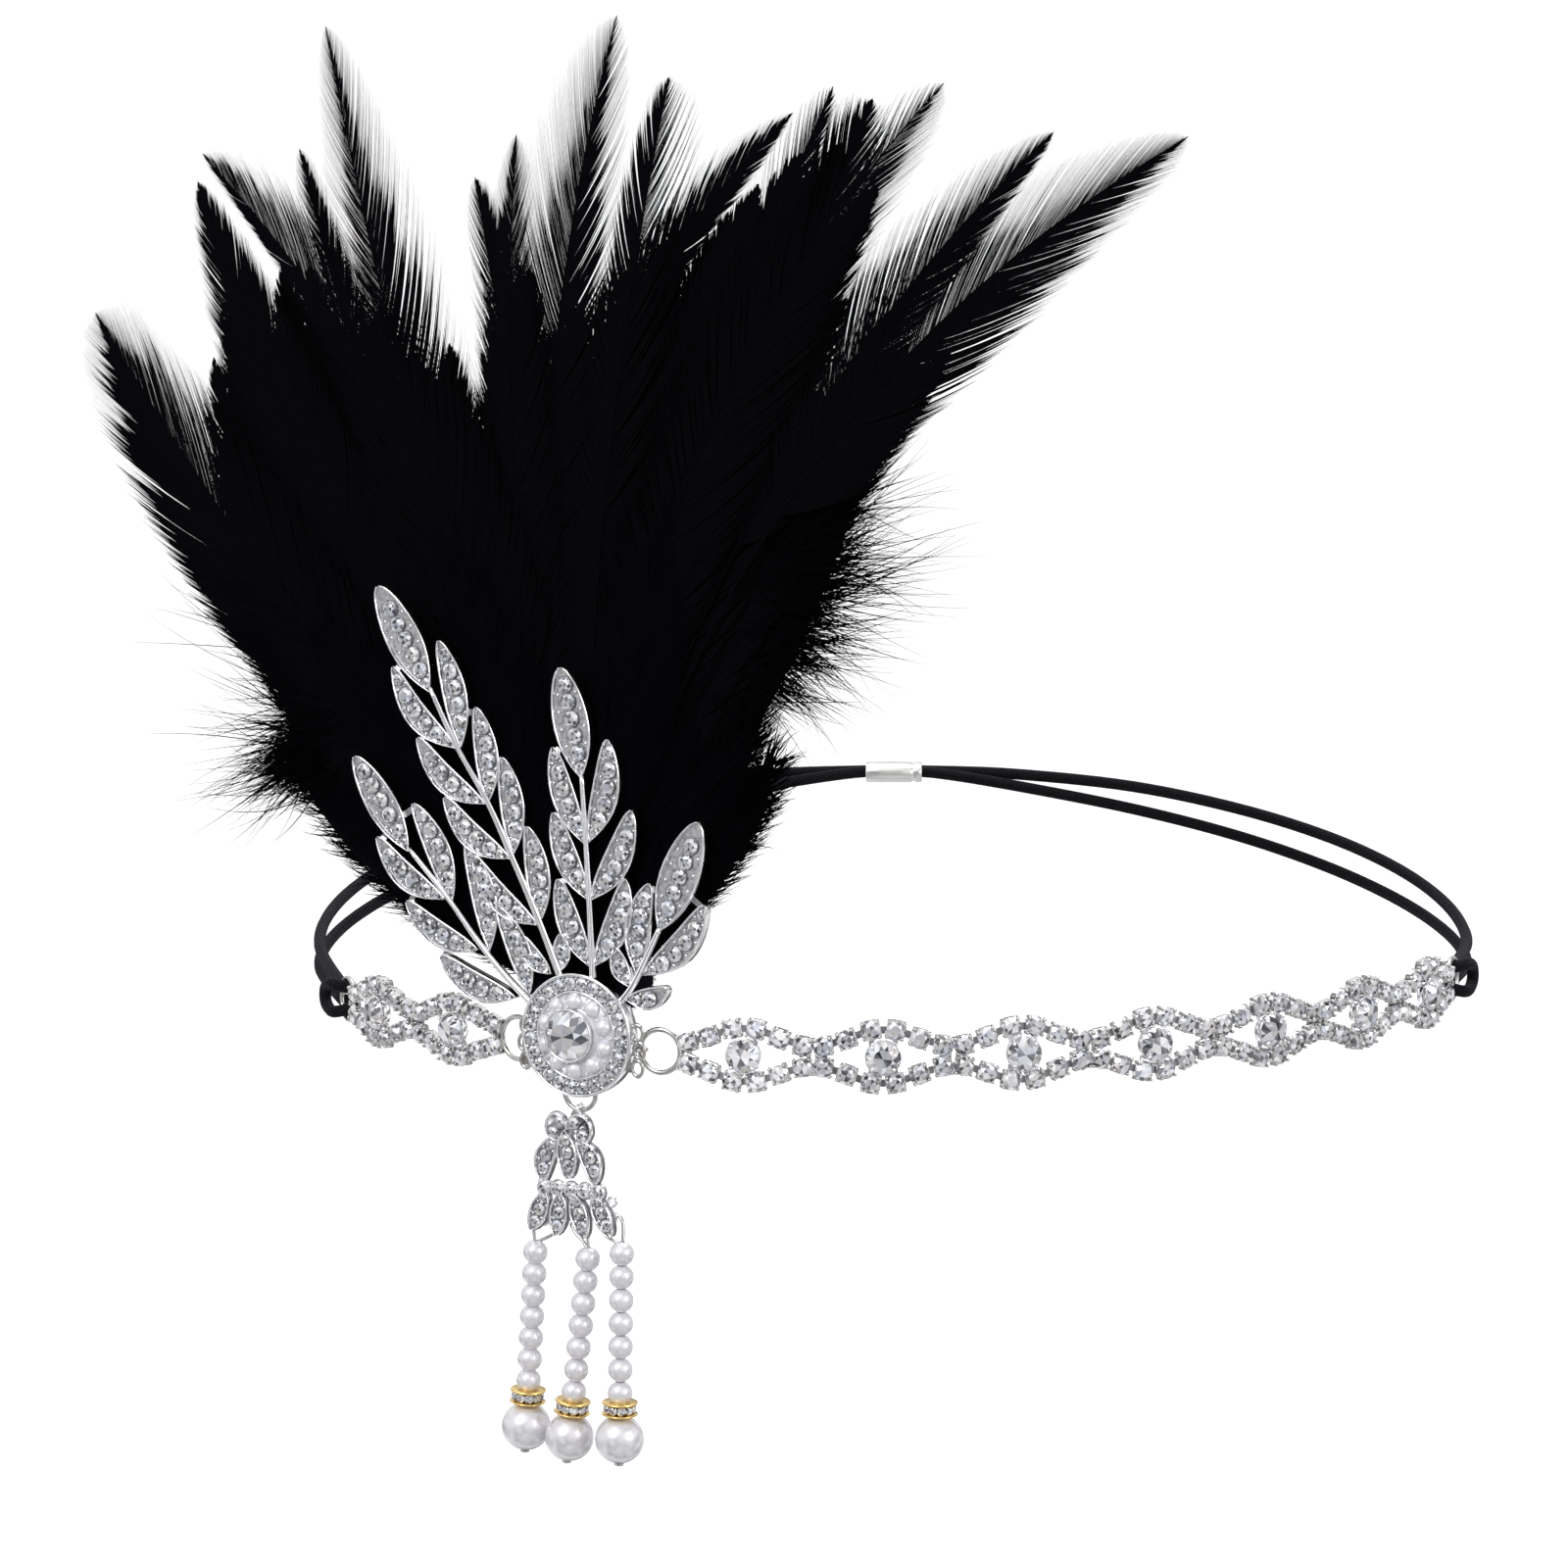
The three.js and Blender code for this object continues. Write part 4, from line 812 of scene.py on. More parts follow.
sprays = {
    "outer": {"stem": [(-7.2, 3.6), (-12.8, 8.4), (-18.3, 14.0), (-24.3, 21.1), (-31.7, 28.8)],
              "left": [(-24.9, 20.8, 54, 16.2, 4.7), (-18.5, 12.8, 63, 15.6, 4.8),
                       (-11.2, 5.3, 68.3, 15.8, 5.0)],
              "right": [(-23.3, 20.4, 25, 17.8, 4.9), (-16.2, 12.7, 13.8, 18.3, 4.9),
                        (-8.5, 5.9, 23.1, 15.7, 4.6)],
              "tip": (-31.7, 28.4, 34.3, 18.5, 6.0), "bend": (0.11, -0.06)},
    "tall": {"stem": [(-2.0, 7.8), (-6.7, 18.5), (-11.9, 29.0), (-16.5, 37.8), (-22.4, 46.8), (-27.4, 56.1)],
             "left": [(-22.3, 46.2, 43.5, 17.8, 4.7), (-16.8, 37.3, 52, 16.6, 4.8),
                      (-12.1, 28.5, 53.5, 15.8, 4.8), (-6.9, 17.8, 49.2, 16.4, 4.8),
                      (-4.4, 9.8, 43.1, 8.0, 3.6)],
             "right": [(-21.4, 46.3, 13.2, 18.2, 4.8), (-16.2, 37.5, 8, 16.0, 4.7),
                       (-11.4, 29.2, 7.6, 16.3, 4.8), (-6.5, 18.1, 8.1, 16.2, 4.8),
                       (-3.2, 10.0, -6.6, 6.7, 3.6)],
             "tip": (-27.3, 55.4, 30.2, 19.7, 6.9), "bend": (0.115, -0.05)},
    "middle": {"stem": [(3.5, 8.6), (3.4, 12.1), (2.9, 23.1), (2.3, 33.1), (1.6, 43.5)],
               "left": [(2.1, 32.0, 20.8, 16.7, 4.7), (2.7, 22.7, 24.7, 15.5, 4.8),
                        (3.0, 11.6, 23, 15.4, 4.8)],
               "right": [(2.8, 32.1, -12.3, 17.8, 5.2), (3.1, 22.6, -27.4, 17.4, 5.2),
                         (3.7, 11.6, -22.5, 16.3, 5.0)],
               "tip": (1.7, 42.8, 12.1, 18.5, 6.9), "bend": (0.06, -0.08)},
    "short": {"stem": [(7.0, 4.6), (9.3, 6.8), (11.2, 9.3), (13.1, 12.8), (16.2, 19.0)],
              "left": [(11.9, 11.0, -8.9, 15.4, 5.0), (10.5, 8.8, 24.1, 6.9, 3.6)],
              "right": [(12.8, 10.9, -44, 17.2, 5.0), (9.8, 6.7, -74.8, 8.2, 3.8)],
              "tip": (16.2, 18.5, -22.2, 19.9, 7.2), "bend": (0.07, -0.1)},
}
stemSize = {"radius": 0.6, "level": 1.35}


def leafMatrix(row):  # leaf lies along its own X, lean is counted from upright to the left
    return brooch @ shift(row[0], row[1], 0) @ turnZ(math.radians(90 + row[2]))


def addSprays():
    heaps = {part: Heap() for part in jewelParts}
    tabs = Heap()
    for spray in sprays.values():
        for sideName, bend in zip(("left", "right"), spray["bend"]):
            rows = spray[sideName]
            for row in rows:
                addLeaf(heaps, leafMatrix(row), row[3], row[4], bend)
            full = [spray["tip"]] + [row for row in rows if row[3] > 10]
            for upper, lower in zip(full[:-1], full[1:]):  # bridge from a leaf's tip to the leaf above it
                tip = place((lower[3] - 0.7, 0, 0.7), leafMatrix(lower))
                share = np.linspace(0.15, 0.85, 15)
                spine = leafAxis(share, upper[3], bend)
                seat = place(np.column_stack([spine, np.full(15, 0.7)]), leafMatrix(upper))
                nearest = seat[np.argmin(np.linalg.norm(seat - tip, axis=1))]
                if np.linalg.norm(nearest - tip) < 4.5:
                    addShape(tabs, barShape(tip, nearest, outward, 1.0, 0.9), smooth=False)
        addLeaf(heaps, leafMatrix(spray["tip"]), spray["tip"][3], spray["tip"][4], 0.0, 0.2)
        route = smoothRoute([(u, v, stemSize["level"]) for u, v in spray["stem"]], 6)
        taper = np.linspace(1.15, 0.75, len(route)) * stemSize["radius"]
        addShape(tabs, tube(place(route, brooch), taper, 10))
    addJewel("leaf", heaps, "leaf_sprays", "headband")
    addPiece("leaf_stems", tabs, silver)


addSprays()
print("leaf sprays made")


# plate behind the medallion, with an eye for each chain ring and one for the bail

plate = {"radius": 6.2, "thick": 1.2, "lug": 1.05, "wire": 0.3,
         "sideReach": {1: 11.9, -1: 10.2}, "holeGap": 2.95}


def addPlate():
    heap = Heap()
    addShape(heap, lathe([(0.1, 0), (plate["radius"] - 0.2, 0), (plate["radius"], 0.2),
                          (plate["radius"], plate["thick"]), (0.1, plate["thick"])], 40), brooch)
    eye = ringWire(plate["lug"], plate["wire"], 24, 8)
    lean = np.linalg.inv(brooch)
    for end, side in ((rightInner, 1), (leftInner, -1)):
        spot = place(place((-side * endRing["radius"], 0, endRing["level"]), chainFrame(end)), lean)
        addShape(heap, eye, brooch @ shift(*spot) @ turnX(math.pi / 2))
        root = place((side * (plate["radius"] - 1), spot[1], plate["thick"] / 2), brooch)
        tip = place((spot[0] - side * plate["lug"], spot[1], spot[2]), brooch)
        addShape(heap, barShape(root, tip, outward, 1.4, 0.6), smooth=False)
        for row in (-1, 0, 1):  # side piece with three oval holes
            hole = ringWire(0.98, 0.3, 24, 8)
            hole[0][:, 1] *= 1.35
            out, up = side * (plate["sideReach"][side] - 0.4 * abs(row)), spot[1] + row * plate["holeGap"]
            addShape(heap, hole, brooch @ shift(out, up, 0.75))
            arm = [place((side * reach, up, 0.7), brooch) for reach in (5.0, 10.4)]
            addShape(heap, barShape(*arm, outward, 1.5, 0.6), smooth=False)
    addShape(heap, eye, brooch @ basis((0, 0, 1), (0, 1, 0), (-1, 0, 0), (0, bail["top"], bail["plane"])))
    addPiece("brooch_plate", heap, steel)


addPlate()


# medallion: dish, stones round the rim, half pearls, raised centre stone

dish = {"rimStones": 24, "orbit": 8.68, "stone": 1.12, "grainOrbits": (7.85, 9.5), "pearls": 10,
        "pearlOrbit": 5.75, "pearl": 1.45, "seedOrbits": (4.85, 6.6), "centre": 4.15, "right": 0.75,
        "lower": -1.0, "core": (-1.0, 0, 0.6), "ring": (-0.25, 0, 0.1), "stoneLevel": 3.4,
        "collarLevel": 3.36, "grainLevel": 3.1, "grain": (0.26, 0.5), "pearlLevel": 3.1, "pearlHeight": 1.4,
        "seedLevel": 3.2, "seed": (0.36, 0.5), "centreLevel": 3.9}


def addMedallion():
    metal, channel, stones, grains, shadeOutlines = (Heap() for _ in range(5))
    base = brooch @ shift(dish["right"], 0, dish["lower"])
    addShape(metal, lathe([(0.1, 0.3), (9.6, 0.3), (10.05, 0.45), (10.4, 0.9), (10.4, 3.3), (10.3, 3.58),
                           (10.05, 3.68), (9.84, 3.52), (9.78, 3.05), (7.58, 3.05), (7.5, 3.5), (7.28, 3.66),
                           (7.06, 3.5), (7.0, 3.1), (7.0, 2.2), (0.1, 2.2)], 72), base)
    addShape(channel, lathe([(7.5, 3.0), (7.5, 3.1), (9.85, 3.1), (9.85, 3.0)], 72), base)
    for turn in around(dish["rimStones"], 0.5):
        spot = polar(dish["orbit"], turn)
        addStone(stones, smallStone, base @ shift(*spot, dish["stoneLevel"]), dish["stone"], 0.68)
        # painted shade: a dark collar round each rim stone
        collar = ringWire(dish["stone"] * 1.03, 0.1, 18, 5)
        addShape(shadeOutlines, collar, base @ shift(*spot, dish["collarLevel"]))
        for orbit in dish["grainOrbits"]:
            between = polar(orbit, turn + math.pi / dish["rimStones"])
            addShape(grains, domeShape(*dish["grain"], 8), base @ shift(*between, dish["grainLevel"]))
    addShape(grains, lathe([(3.5, 2.3), (4.2, 2.3), (4.48, 3.6), (4.5, 3.95), (4.36, 4.08), (4.15, 3.95),
                            (3.5, 3.4)], 48), base @ shift(*dish["core"]))
    addPiece("medallion_dish", metal, silver, ["medallion"])
    addPiece("medallion_channel", channel, bedSilver)
    addPiece("medallion_stones", stones, crystal)
    addPiece("medallion_grains", grains, silver)
    addPiece("medallion_shadeOutlines", shadeOutlines, paintedShadeMetal)
    beads, bed = Heap(), Heap()
    addShape(bed, lathe([(0.1, 2.4), (7.02, 2.4), (7.02, 3.2), (5.75, 3.4), (0.1, 3.3)], 60), base)
    lift = np.linspace(-0.5, math.pi / 2 * 0.96, 9)
    tall = dish["pearlHeight"]
    half = lathe([(dish["pearl"] * math.cos(a), tall * math.sin(a)) for a in lift] + [(0.0, tall)], 20)
    for turn in around(dish["pearls"], 0.5):
        spot = polar(dish["pearlOrbit"], turn)
        addShape(beads, half, base @ shift(*dish["ring"]) @ shift(*spot, dish["pearlLevel"]))
        for orbit in dish["seedOrbits"]:
            between = polar(orbit, turn + math.pi / dish["pearls"])
            addShape(beads, domeShape(*dish["seed"], 8), base @ shift(*between, dish["seedLevel"]))
    addPiece("half_pearls", beads, pearl, ["pearl_ring"])
    addPiece("pearl_bed", bed, resin)
    centre = Heap()
    middle = base @ shift(*dish["core"]) @ shift(0, 0, dish["centreLevel"])
    addStone(centre, largeStone, middle, dish["centre"], 0.66)
    addPiece("centre_crystal", centre, crystal, ["centre_stone"])


addMedallion()
print("medallion made")


# bail and drop, hung as the frame hangs it

dropTurn = {"back": 2.0045, "side": 0.8374}  # degrees, as the solids hang
dropSpot = np.array(hinges["drop_tilt"]["pos_m"]) / mm
dropFrame = (basis(across, upright, outward, dropSpot)
             @ turnZ(math.radians(dropTurn["side"])) @ turnX(math.radians(dropTurn["back"])))


def addBail():
    heap = Heap()
    spot = brooch @ shift(0, bail["top"] - bail["radius"], bail["plane"])
    addShape(heap, ringWire(bail["radius"], bail["wire"], 48, 12), spot)
    addPiece("bail_wire", heap, steel, ["bail_ring"], "bail")


addBail()

strings = {  # first bead, large pearl, and the wire loop behind the leaf tips
    "left": {"pitch": 3.72, "top": (-8.9, -24.6), "end": (-12.0, -54.6), "eye": (-7.6, -19.2),
             "loop": [(-8.9, -23.2), (-8.4, -22.7), (-5.6, -21.2), (-6.0, -19.6), (-9.2, -19.4),
                      (-9.6, -20.8)]},
    "middle": {"pitch": 3.88, "top": (1.2, -24.8), "end": (-3.7, -55.7), "eye": (-0.9, -18.9),
               "loop": [(0.9, -23.2), (0.0, -22.0), (-1.5, -20.8), (-2.3, -19.2), (0.6, -19.2),
                        (0.9, -21.1)]},
    "right": {"pitch": 3.98, "top": (7.8, -23.4), "end": (6.0, -55.2), "eye": (5.6, -17.6),
              "loop": [(7.4, -22.0), (6.3, -21.6), (4.3, -20.6), (3.9, -18.8), (6.3, -17.3), (7.5, -18.3),
                       (7.8, -20.1)]},
}
dropLeaves = [  # from x, from y, to x, to y, width, height above the back, bend
    (-1.55, -2.9, -1.1, -11.2, 3.9, 1.5, 0.0),
    (-3.9, -4.4, -6.8, -12.3, 3.8, 0.6, -0.1),
    (0.3, -4.4, 3.6, -12.0, 3.8, 0.6, 0.1),
    (-5.9, -13.6, -9.2, -20.6, 3.5, 0.75, 0.0),
    (-3.1, -13.6, -4.5, -21.2, 3.5, 0.75, 0.0),
    (-0.8, -13.6, 1.1, -21.3, 3.5, 0.75, 0.0),
    (2.8, -13.4, 6.1, -20.7, 3.5, 0.75, 0.0),
]
dropLobes = [(-3.65, -2.75, 2.2, 2.45, 1), (0.7, -2.9, 2.55, 2.7, -1)]  # middle, half sizes, stone's side
lobeForm = {"base": 0.75, "height": 1.55, "stoneLevel": 1.4, "stone": 1.06}
dropCrest = {"at": (0.1, -0.5, 0.85), "radius": 0.95, "height": 1.0, "stone": 0.72}
dropBar = {"from": (-6.5, -13.2), "to": (3.9, -13.3), "cups": 5, "cup": 1.32, "stone": 1.1, "rail": 0.3,
           "level": 0.9, "height": 1.4, "stoneLevel": 1.25}
dropStone = 1.08  # largest stone in its leaves
shadeLine = {"wire": 0.17, "reach": 0.06, "level": 0.55}  # painted shade: a dark line round each casting


def discShape(radius, height):  # dished disc with a rounded rim
    inner = radius - 0.55
    return lathe([(0.05, 0), (radius - 0.2, 0), (radius, 0.3), (radius, height - 0.3),
                  (radius - 0.12, height - 0.05), (radius - 0.3, height), (inner + 0.08, height - 0.12),
                  (inner, height - 0.42), (0.05, height - 0.42)], 32)


def addDrop():
    heaps = {part: Heap() for part in jewelParts}

    def addGem(seat, radius):
        addStone(heaps["stones"], smallStone, seat, radius, 0.72)
        # painted shade: a dark collar round each stone
        addShape(heaps["shadeOutlines"], ringWire(radius * 1.03, 0.1, 16, 5), seat)

    for x1, y1, x2, y2, width, base, bend in dropLeaves:
        seat = dropFrame @ shift(x1, y1, 0) @ turnZ(math.atan2(y2 - y1, x2 - x1))
        length = math.hypot(x2 - x1, y2 - y1)
        addLeaf(heaps, seat, length, width, bend, base, dropStone)
        edge = leafEdge(length, width, bend, shadeLine["reach"])
        edge = np.column_stack([edge, np.full(len(edge), base + shadeLine["level"])])
        addShape(heaps["shadeOutlines"], tube(place(edge, seat), shadeLine["wire"], 6))
    for x, y, wide, tall, side in dropLobes:
        seat = dropFrame @ shift(x, y, lobeForm["base"])
        stretch = np.array((wide / tall, 1, 1))
        points, faces = discShape(tall, lobeForm["height"])
        addShape(heaps["rims"], (points * stretch, faces), seat)
        points, faces = ringWire(tall + shadeLine["reach"], shadeLine["wire"], 32, 6)
        addShape(heaps["shadeOutlines"], (points * stretch, faces), seat @ shift(0, 0, shadeLine["level"]))
        for stoneX, stoneY in ((0.34 * side * wide, 0.38 * tall), (-0.26 * side * wide, -0.36 * tall)):
            addGem(seat @ shift(stoneX, stoneY, lobeForm["stoneLevel"]), lobeForm["stone"])
    left, right = (np.array((*dropBar[end], dropBar["level"])) for end in ("from", "to"))
    for i in range(dropBar["cups"]):
        seat = dropFrame @ shift(*(left + (right - left) * i / (dropBar["cups"] - 1)))
        addShape(heaps["rims"], discShape(dropBar["cup"], dropBar["height"]), seat)
        edge = ringWire(dropBar["cup"] + shadeLine["reach"], shadeLine["wire"], 24, 6)
        addShape(heaps["shadeOutlines"], edge, seat @ shift(0, 0, shadeLine["level"]))
        addGem(seat @ shift(0, 0, dropBar["stoneLevel"]), dropBar["stone"])
    rail = smoothRoute([left + (-0.9, 1.2, 0.9), left + (3.6, 0.75, 0.9), right + (-2.6, 0.7, 0.9),
                        right + (1.3, 1.1, 0.9)], 6)
    addShape(heaps["rims"], tube(place(rail, dropFrame), dropBar["rail"], 8))
    crest = dropFrame @ shift(*dropCrest["at"])
    addShape(heaps["rims"], discShape(dropCrest["radius"], dropCrest["height"]), crest)
    addGem(crest @ shift(0, 0, dropCrest["height"]), dropCrest["stone"])
    eye = ringWire(plate["lug"], plate["wire"], 24, 8)
    addShape(heaps["grains"], eye, dropFrame @ basis((0, 0, 1), (0, 1, 0), (-1, 0, 0), (0, 0, 0)))
    neck = [place((0, 0.1, 0.7), dropFrame), place((-1.4, -2.2, 0.9), dropFrame)]
    addShape(heaps["grains"], barShape(*neck, across, 0.8, 1.2), smooth=False)
    addShape(heaps["grains"], ringWire(0.75, 0.28, 20, 8), dropFrame @ shift(6.2, -14.8, 1.2))
    for row in strings.values():
        x, y = row["eye"]
        addShape(heaps["grains"], ringWire(0.8, 0.26, 20, 8), dropFrame @ shift(x, y, 0.3))
    addJewel("drop", heaps, "drop_casting", "drop")


addDrop()


# bead strings

bead = {"count": 7, "radius": 2.06, "hole": 0.4, "rondelleAt": 5.35, "firstAt": 7.95,
        "pearl": 4.1, "level": 1.45, "wire": 0.3, "gems": 10, "gem": 0.8, "gemOrbit": 2.4,
        "behind": 1.25, "pinTop": 6.2, "pinTail": 4.2}


def roundBead(radius, hole, sides):
    cut = math.asin(hole / radius)
    lift = np.linspace(-math.pi / 2 + cut, math.pi / 2 - cut, 17)
    return lathe([(hole, -radius * 0.5)] + [(radius * math.cos(a), radius * math.sin(a)) for a in lift]
                 + [(hole, radius * 0.5)], sides)


def addString(name, row):
    end = np.array((*row["end"], bead["level"]))
    way = unit(end - np.array((*row["top"], bead["level"])))

    def seat(distance):
        return dropFrame @ axisFrame(end - way * distance, -way)

    pearls = Heap()
    ball = roundBead(bead["radius"], bead["hole"], 28)
    for i in range(bead["count"]):
        addShape(pearls, ball, seat(bead["firstAt"] + i * row["pitch"]))
    addPiece("pearls_" + name, pearls, pearl,
             ["bead_%s_%d" % (name, i + 1) for i in range(bead["count"])], "drop")
    big = Heap()
    addShape(big, roundBead(bead["pearl"], bead["hole"], 40), seat(0))
    addPiece("large_pearl_" + name, big, pearl, ["drop_pearl_" + name], "drop")
    rims, gems = Heap(), Heap()
    hub = seat(bead["rondelleAt"])
    rim = [(0.6, 1.2), (2.5, 1.2), (2.9, 1.12), (3.05, 0.98), (2.95, 0.84), (2.5, 0.8), (2.0, 0.74)]
    addShape(rims, lathe([(radius, -level) for radius, level in rim] + rim[::-1], 40), hub)
    for turn in around(bead["gems"]):
        out = np.array((*polar(1, turn), 0))
        face = basis(np.cross((0, 0, 1), out), (0, 0, 1), out, bead["gemOrbit"] * out)
        addStone(gems, smallStone, hub @ face, bead["gem"], 0.6)
    addPiece("rondelle_rims_" + name, rims, gilt, ["rondelle_" + name], "drop")
    addPiece("rondelle_stones_" + name, gems, crystal, body="drop")
    pin = Heap()
    rise = (np.array(row["loop"])[:, 1] - row["top"][1]) / (row["eye"][1] - row["top"][1])
    legs = np.column_stack([row["loop"], bead["level"] - bead["behind"] * rise])  # behind the leaves
    entry = end - way * (bead["firstAt"] + bead["pinTop"] * row["pitch"])
    path = np.vstack([smoothRoute(legs, 4), entry, end + way * bead["pinTail"]])
    addShape(pin, tube(place(path, dropFrame), bead["wire"], 8))
    head = [(0.05, -4.6), (0.6, -4.58), (0.78, -4.45), (0.78, -4.2), (0.5, -4.02), (0.05, -3.95)]
    addShape(pin, lathe(head, 20), seat(0))
    addPiece("pin_" + name, pin, steel, ["head_pin_" + name], "drop")


for name, row in strings.items():
    addString(name, row)
print("drop and strings made")


# plume: hackle feathers over tufts of down, all from one root

plume = {"u": 0.5, "v": 7.0, "depth": -2.2}
# tip across, tip up, bow, back, bluntness, then each side's vane, closeness and solid share, low and tip
hackles = [
    (-98.5, 115.0, -0.02, 5.0, 0.6, (12.5, 2.6, 1.5, 0.35), (13.0, 1.2, 1.7, 0.3)),
    (-80.0, 137.5, -0.03, 9.0, 0.1, (10.0, 1.6, 1.25, 0.8), (11.5, 1.5, 1.2, 0.85)),
    (-75.0, 142.5, 0.09, 3.0, 0.25, (4.5, 1.4, 1.2, 0.6), (13.0, 1.06, 1.3, 0.7)),
    (-59.0, 143.5, -0.02, 8.0, 0.3, (6.0, 1.05, 0.9, 0.4), (7.0, 1.5, 1.1, 0.6)),
    (-51.0, 164.0, -0.02, 4.0, 0.1, (9.0, 1.02, 1.0, 0.2), (14.0, 1.2, 0.95, 0.3)),
    (-26.0, 139.5, 0.02, 10.0, 0.4, (5.5, 1.0, 0.8, 0.4), (8.0, 1.5, 1.2, 0.7)),
    (-15.0, 147.0, -0.04, 5.0, 0.2, (7.0, 1.3, 1.1, 0.5), (9.0, 1.05, 1.1, 0.4)),
    (2.4, 166.5, -0.06, 8.0, 0.2, (14.0, 1.04, 1.1, 0.15), (12.0, 1.4, 0.9, 0.3)),
    (14.5, 157.0, -0.03, 4.0, 0.6, (6.0, 1.5, 0.95, 0.8), (12.5, 0.85, 0.5, 0.4)),
    (34.5, 151.5, -0.172, 9.0, 0.3, (8.0, 1.4, 1.05, 0.7), (6.5, 1.5, 1.1, 0.8)),
    (44.0, 156.0, -0.04, 5.0, 0.3, (9.0, 0.9, 0.5, 0.45), (8.0, 1.5, 0.9, 0.65)),
    (48.5, 154.0, -0.02, 10.0, 0.8, (10.5, 1.5, 0.95, 0.85), (10.5, 1.5, 0.9, 0.8)),
    (64.5, 157.0, -0.10, 4.0, 0.3, (10.0, 0.85, 0.6, 0.4), (13.0, 1.05, 1.1, 0.45)),
    (82.0, 149.5, -0.08, 8.0, 0.1, (9.0, 1.0, 0.9, 0.4), (7.0, 1.5, 1.1, 0.85)),
    (107.0, 149.5, -0.11, 5.0, 0.2, (10.0, 1.0, 1.1, 0.1), (11.5, 1.5, 1.1, 0.5)),
]
hackleForm = {"barbs": 400, "from": 0.3, "steps": 7, "baseAngle": 40.0, "midAngle": 27.0, "tipAngle": 15.0,
              "shaft": 0.42, "shaftPoints": 26, "samples": 400, "stick": 0.72, "hair": 0.075,
              "clump": (2, 10), "bend": 0.27, "brokenShare": 0.05, "broken": 0.6}


def shaftCurve(tipU, tipV, bow, back, shares):  # places, ways and right-hand sides along a shaft
    root = np.array((plume["u"], plume["v"]))
    reach = np.array((tipU, tipV)) - root
    length = np.linalg.norm(reach)
    ahead = reach / length
    right = np.array((ahead[1], -ahead[0]))
    shares = np.asarray(shares, float)
    flat = (root + np.outer(shares * length, ahead)
            + np.outer(bow * length * 4 * shares * (1 - shares), right))
    points = np.column_stack([flat, plume["depth"] - back * shares**2])
    slope = unit(np.column_stack([np.outer(np.full(len(shares), length), ahead)
                                  + np.outer(bow * length * 4 * (1 - 2 * shares), right),
                                  -2 * back * shares]))
    rightSide = unit(np.column_stack([slope[:, 1], -slope[:, 0], np.zeros(len(shares))]))
    return points, slope, rightSide, length


def addBarbs(heap, starts, firstWays, lastWays, lengths, normals, widths):
    # ribbons that leave their starts along firstWays and end along lastWays; widths has a column per step
    count, steps = len(starts), widths.shape[1] - 1
    spot = starts.copy()
    edges = np.zeros((count, steps + 1, 2, 3))
    for k in range(steps + 1):
        share = k / steps
        way = unit(firstWays * (1 - share) + lastWays * share)
        side = unit(np.cross(way, normals))
        edges[:, k, 0] = spot - side * widths[:, k:k + 1] / 2
        edges[:, k, 1] = spot + side * widths[:, k:k + 1] / 2
        spot = spot + way * (lengths / steps)[:, None]
    base = (np.arange(count) * (steps + 1) * 2)[:, None]
    k = np.arange(steps)[None] * 2
    quads = np.stack([base + k, base + k + 1, base + k + 3, base + k + 2], axis=-1).reshape(-1, 4)
    heap.add(place(edges.reshape(-1, 3), brooch), [quads])


def hairNormals(count):  # ribbons of loose down face roughly forward
    return unit(np.column_stack([dice.normal(0, 0.5, (count, 2)), np.ones(count)]))


def taperedWidths(thick, steps, middle, tip):
    share = np.linspace(0, 1, steps + 1)
    return thick[:, None] * np.interp(share, [0, 0.5, 1], [1, middle, tip])[None]


def vaneProfile(ends, low, blunt):  # how wide the vane is along the shaft, falling to nothing at the tip
    t = np.clip((ends - low) / (1 - low), 0, 1)
    marks = [0, 0.15, 0.45, 0.65, 0.8, 0.9, 0.96, 0.99, 1.0]
    slim = np.interp(t, marks, [0.6, 0.85, 1.0, 0.86, 0.58, 0.36, 0.19, 0.07, 0.0])
    full = np.interp(t, marks, [0.6, 0.85, 1.0, 1.0, 0.96, 0.86, 0.68, 0.36, 0.0])
    return slim * (1 - blunt) + full * blunt


def gather(values, groups, stick):  # pull each value towards the mean of its group
    means = np.bincount(groups, values) / np.maximum(np.bincount(groups), 1)
    return values * (1 - stick) + means[groups] * stick


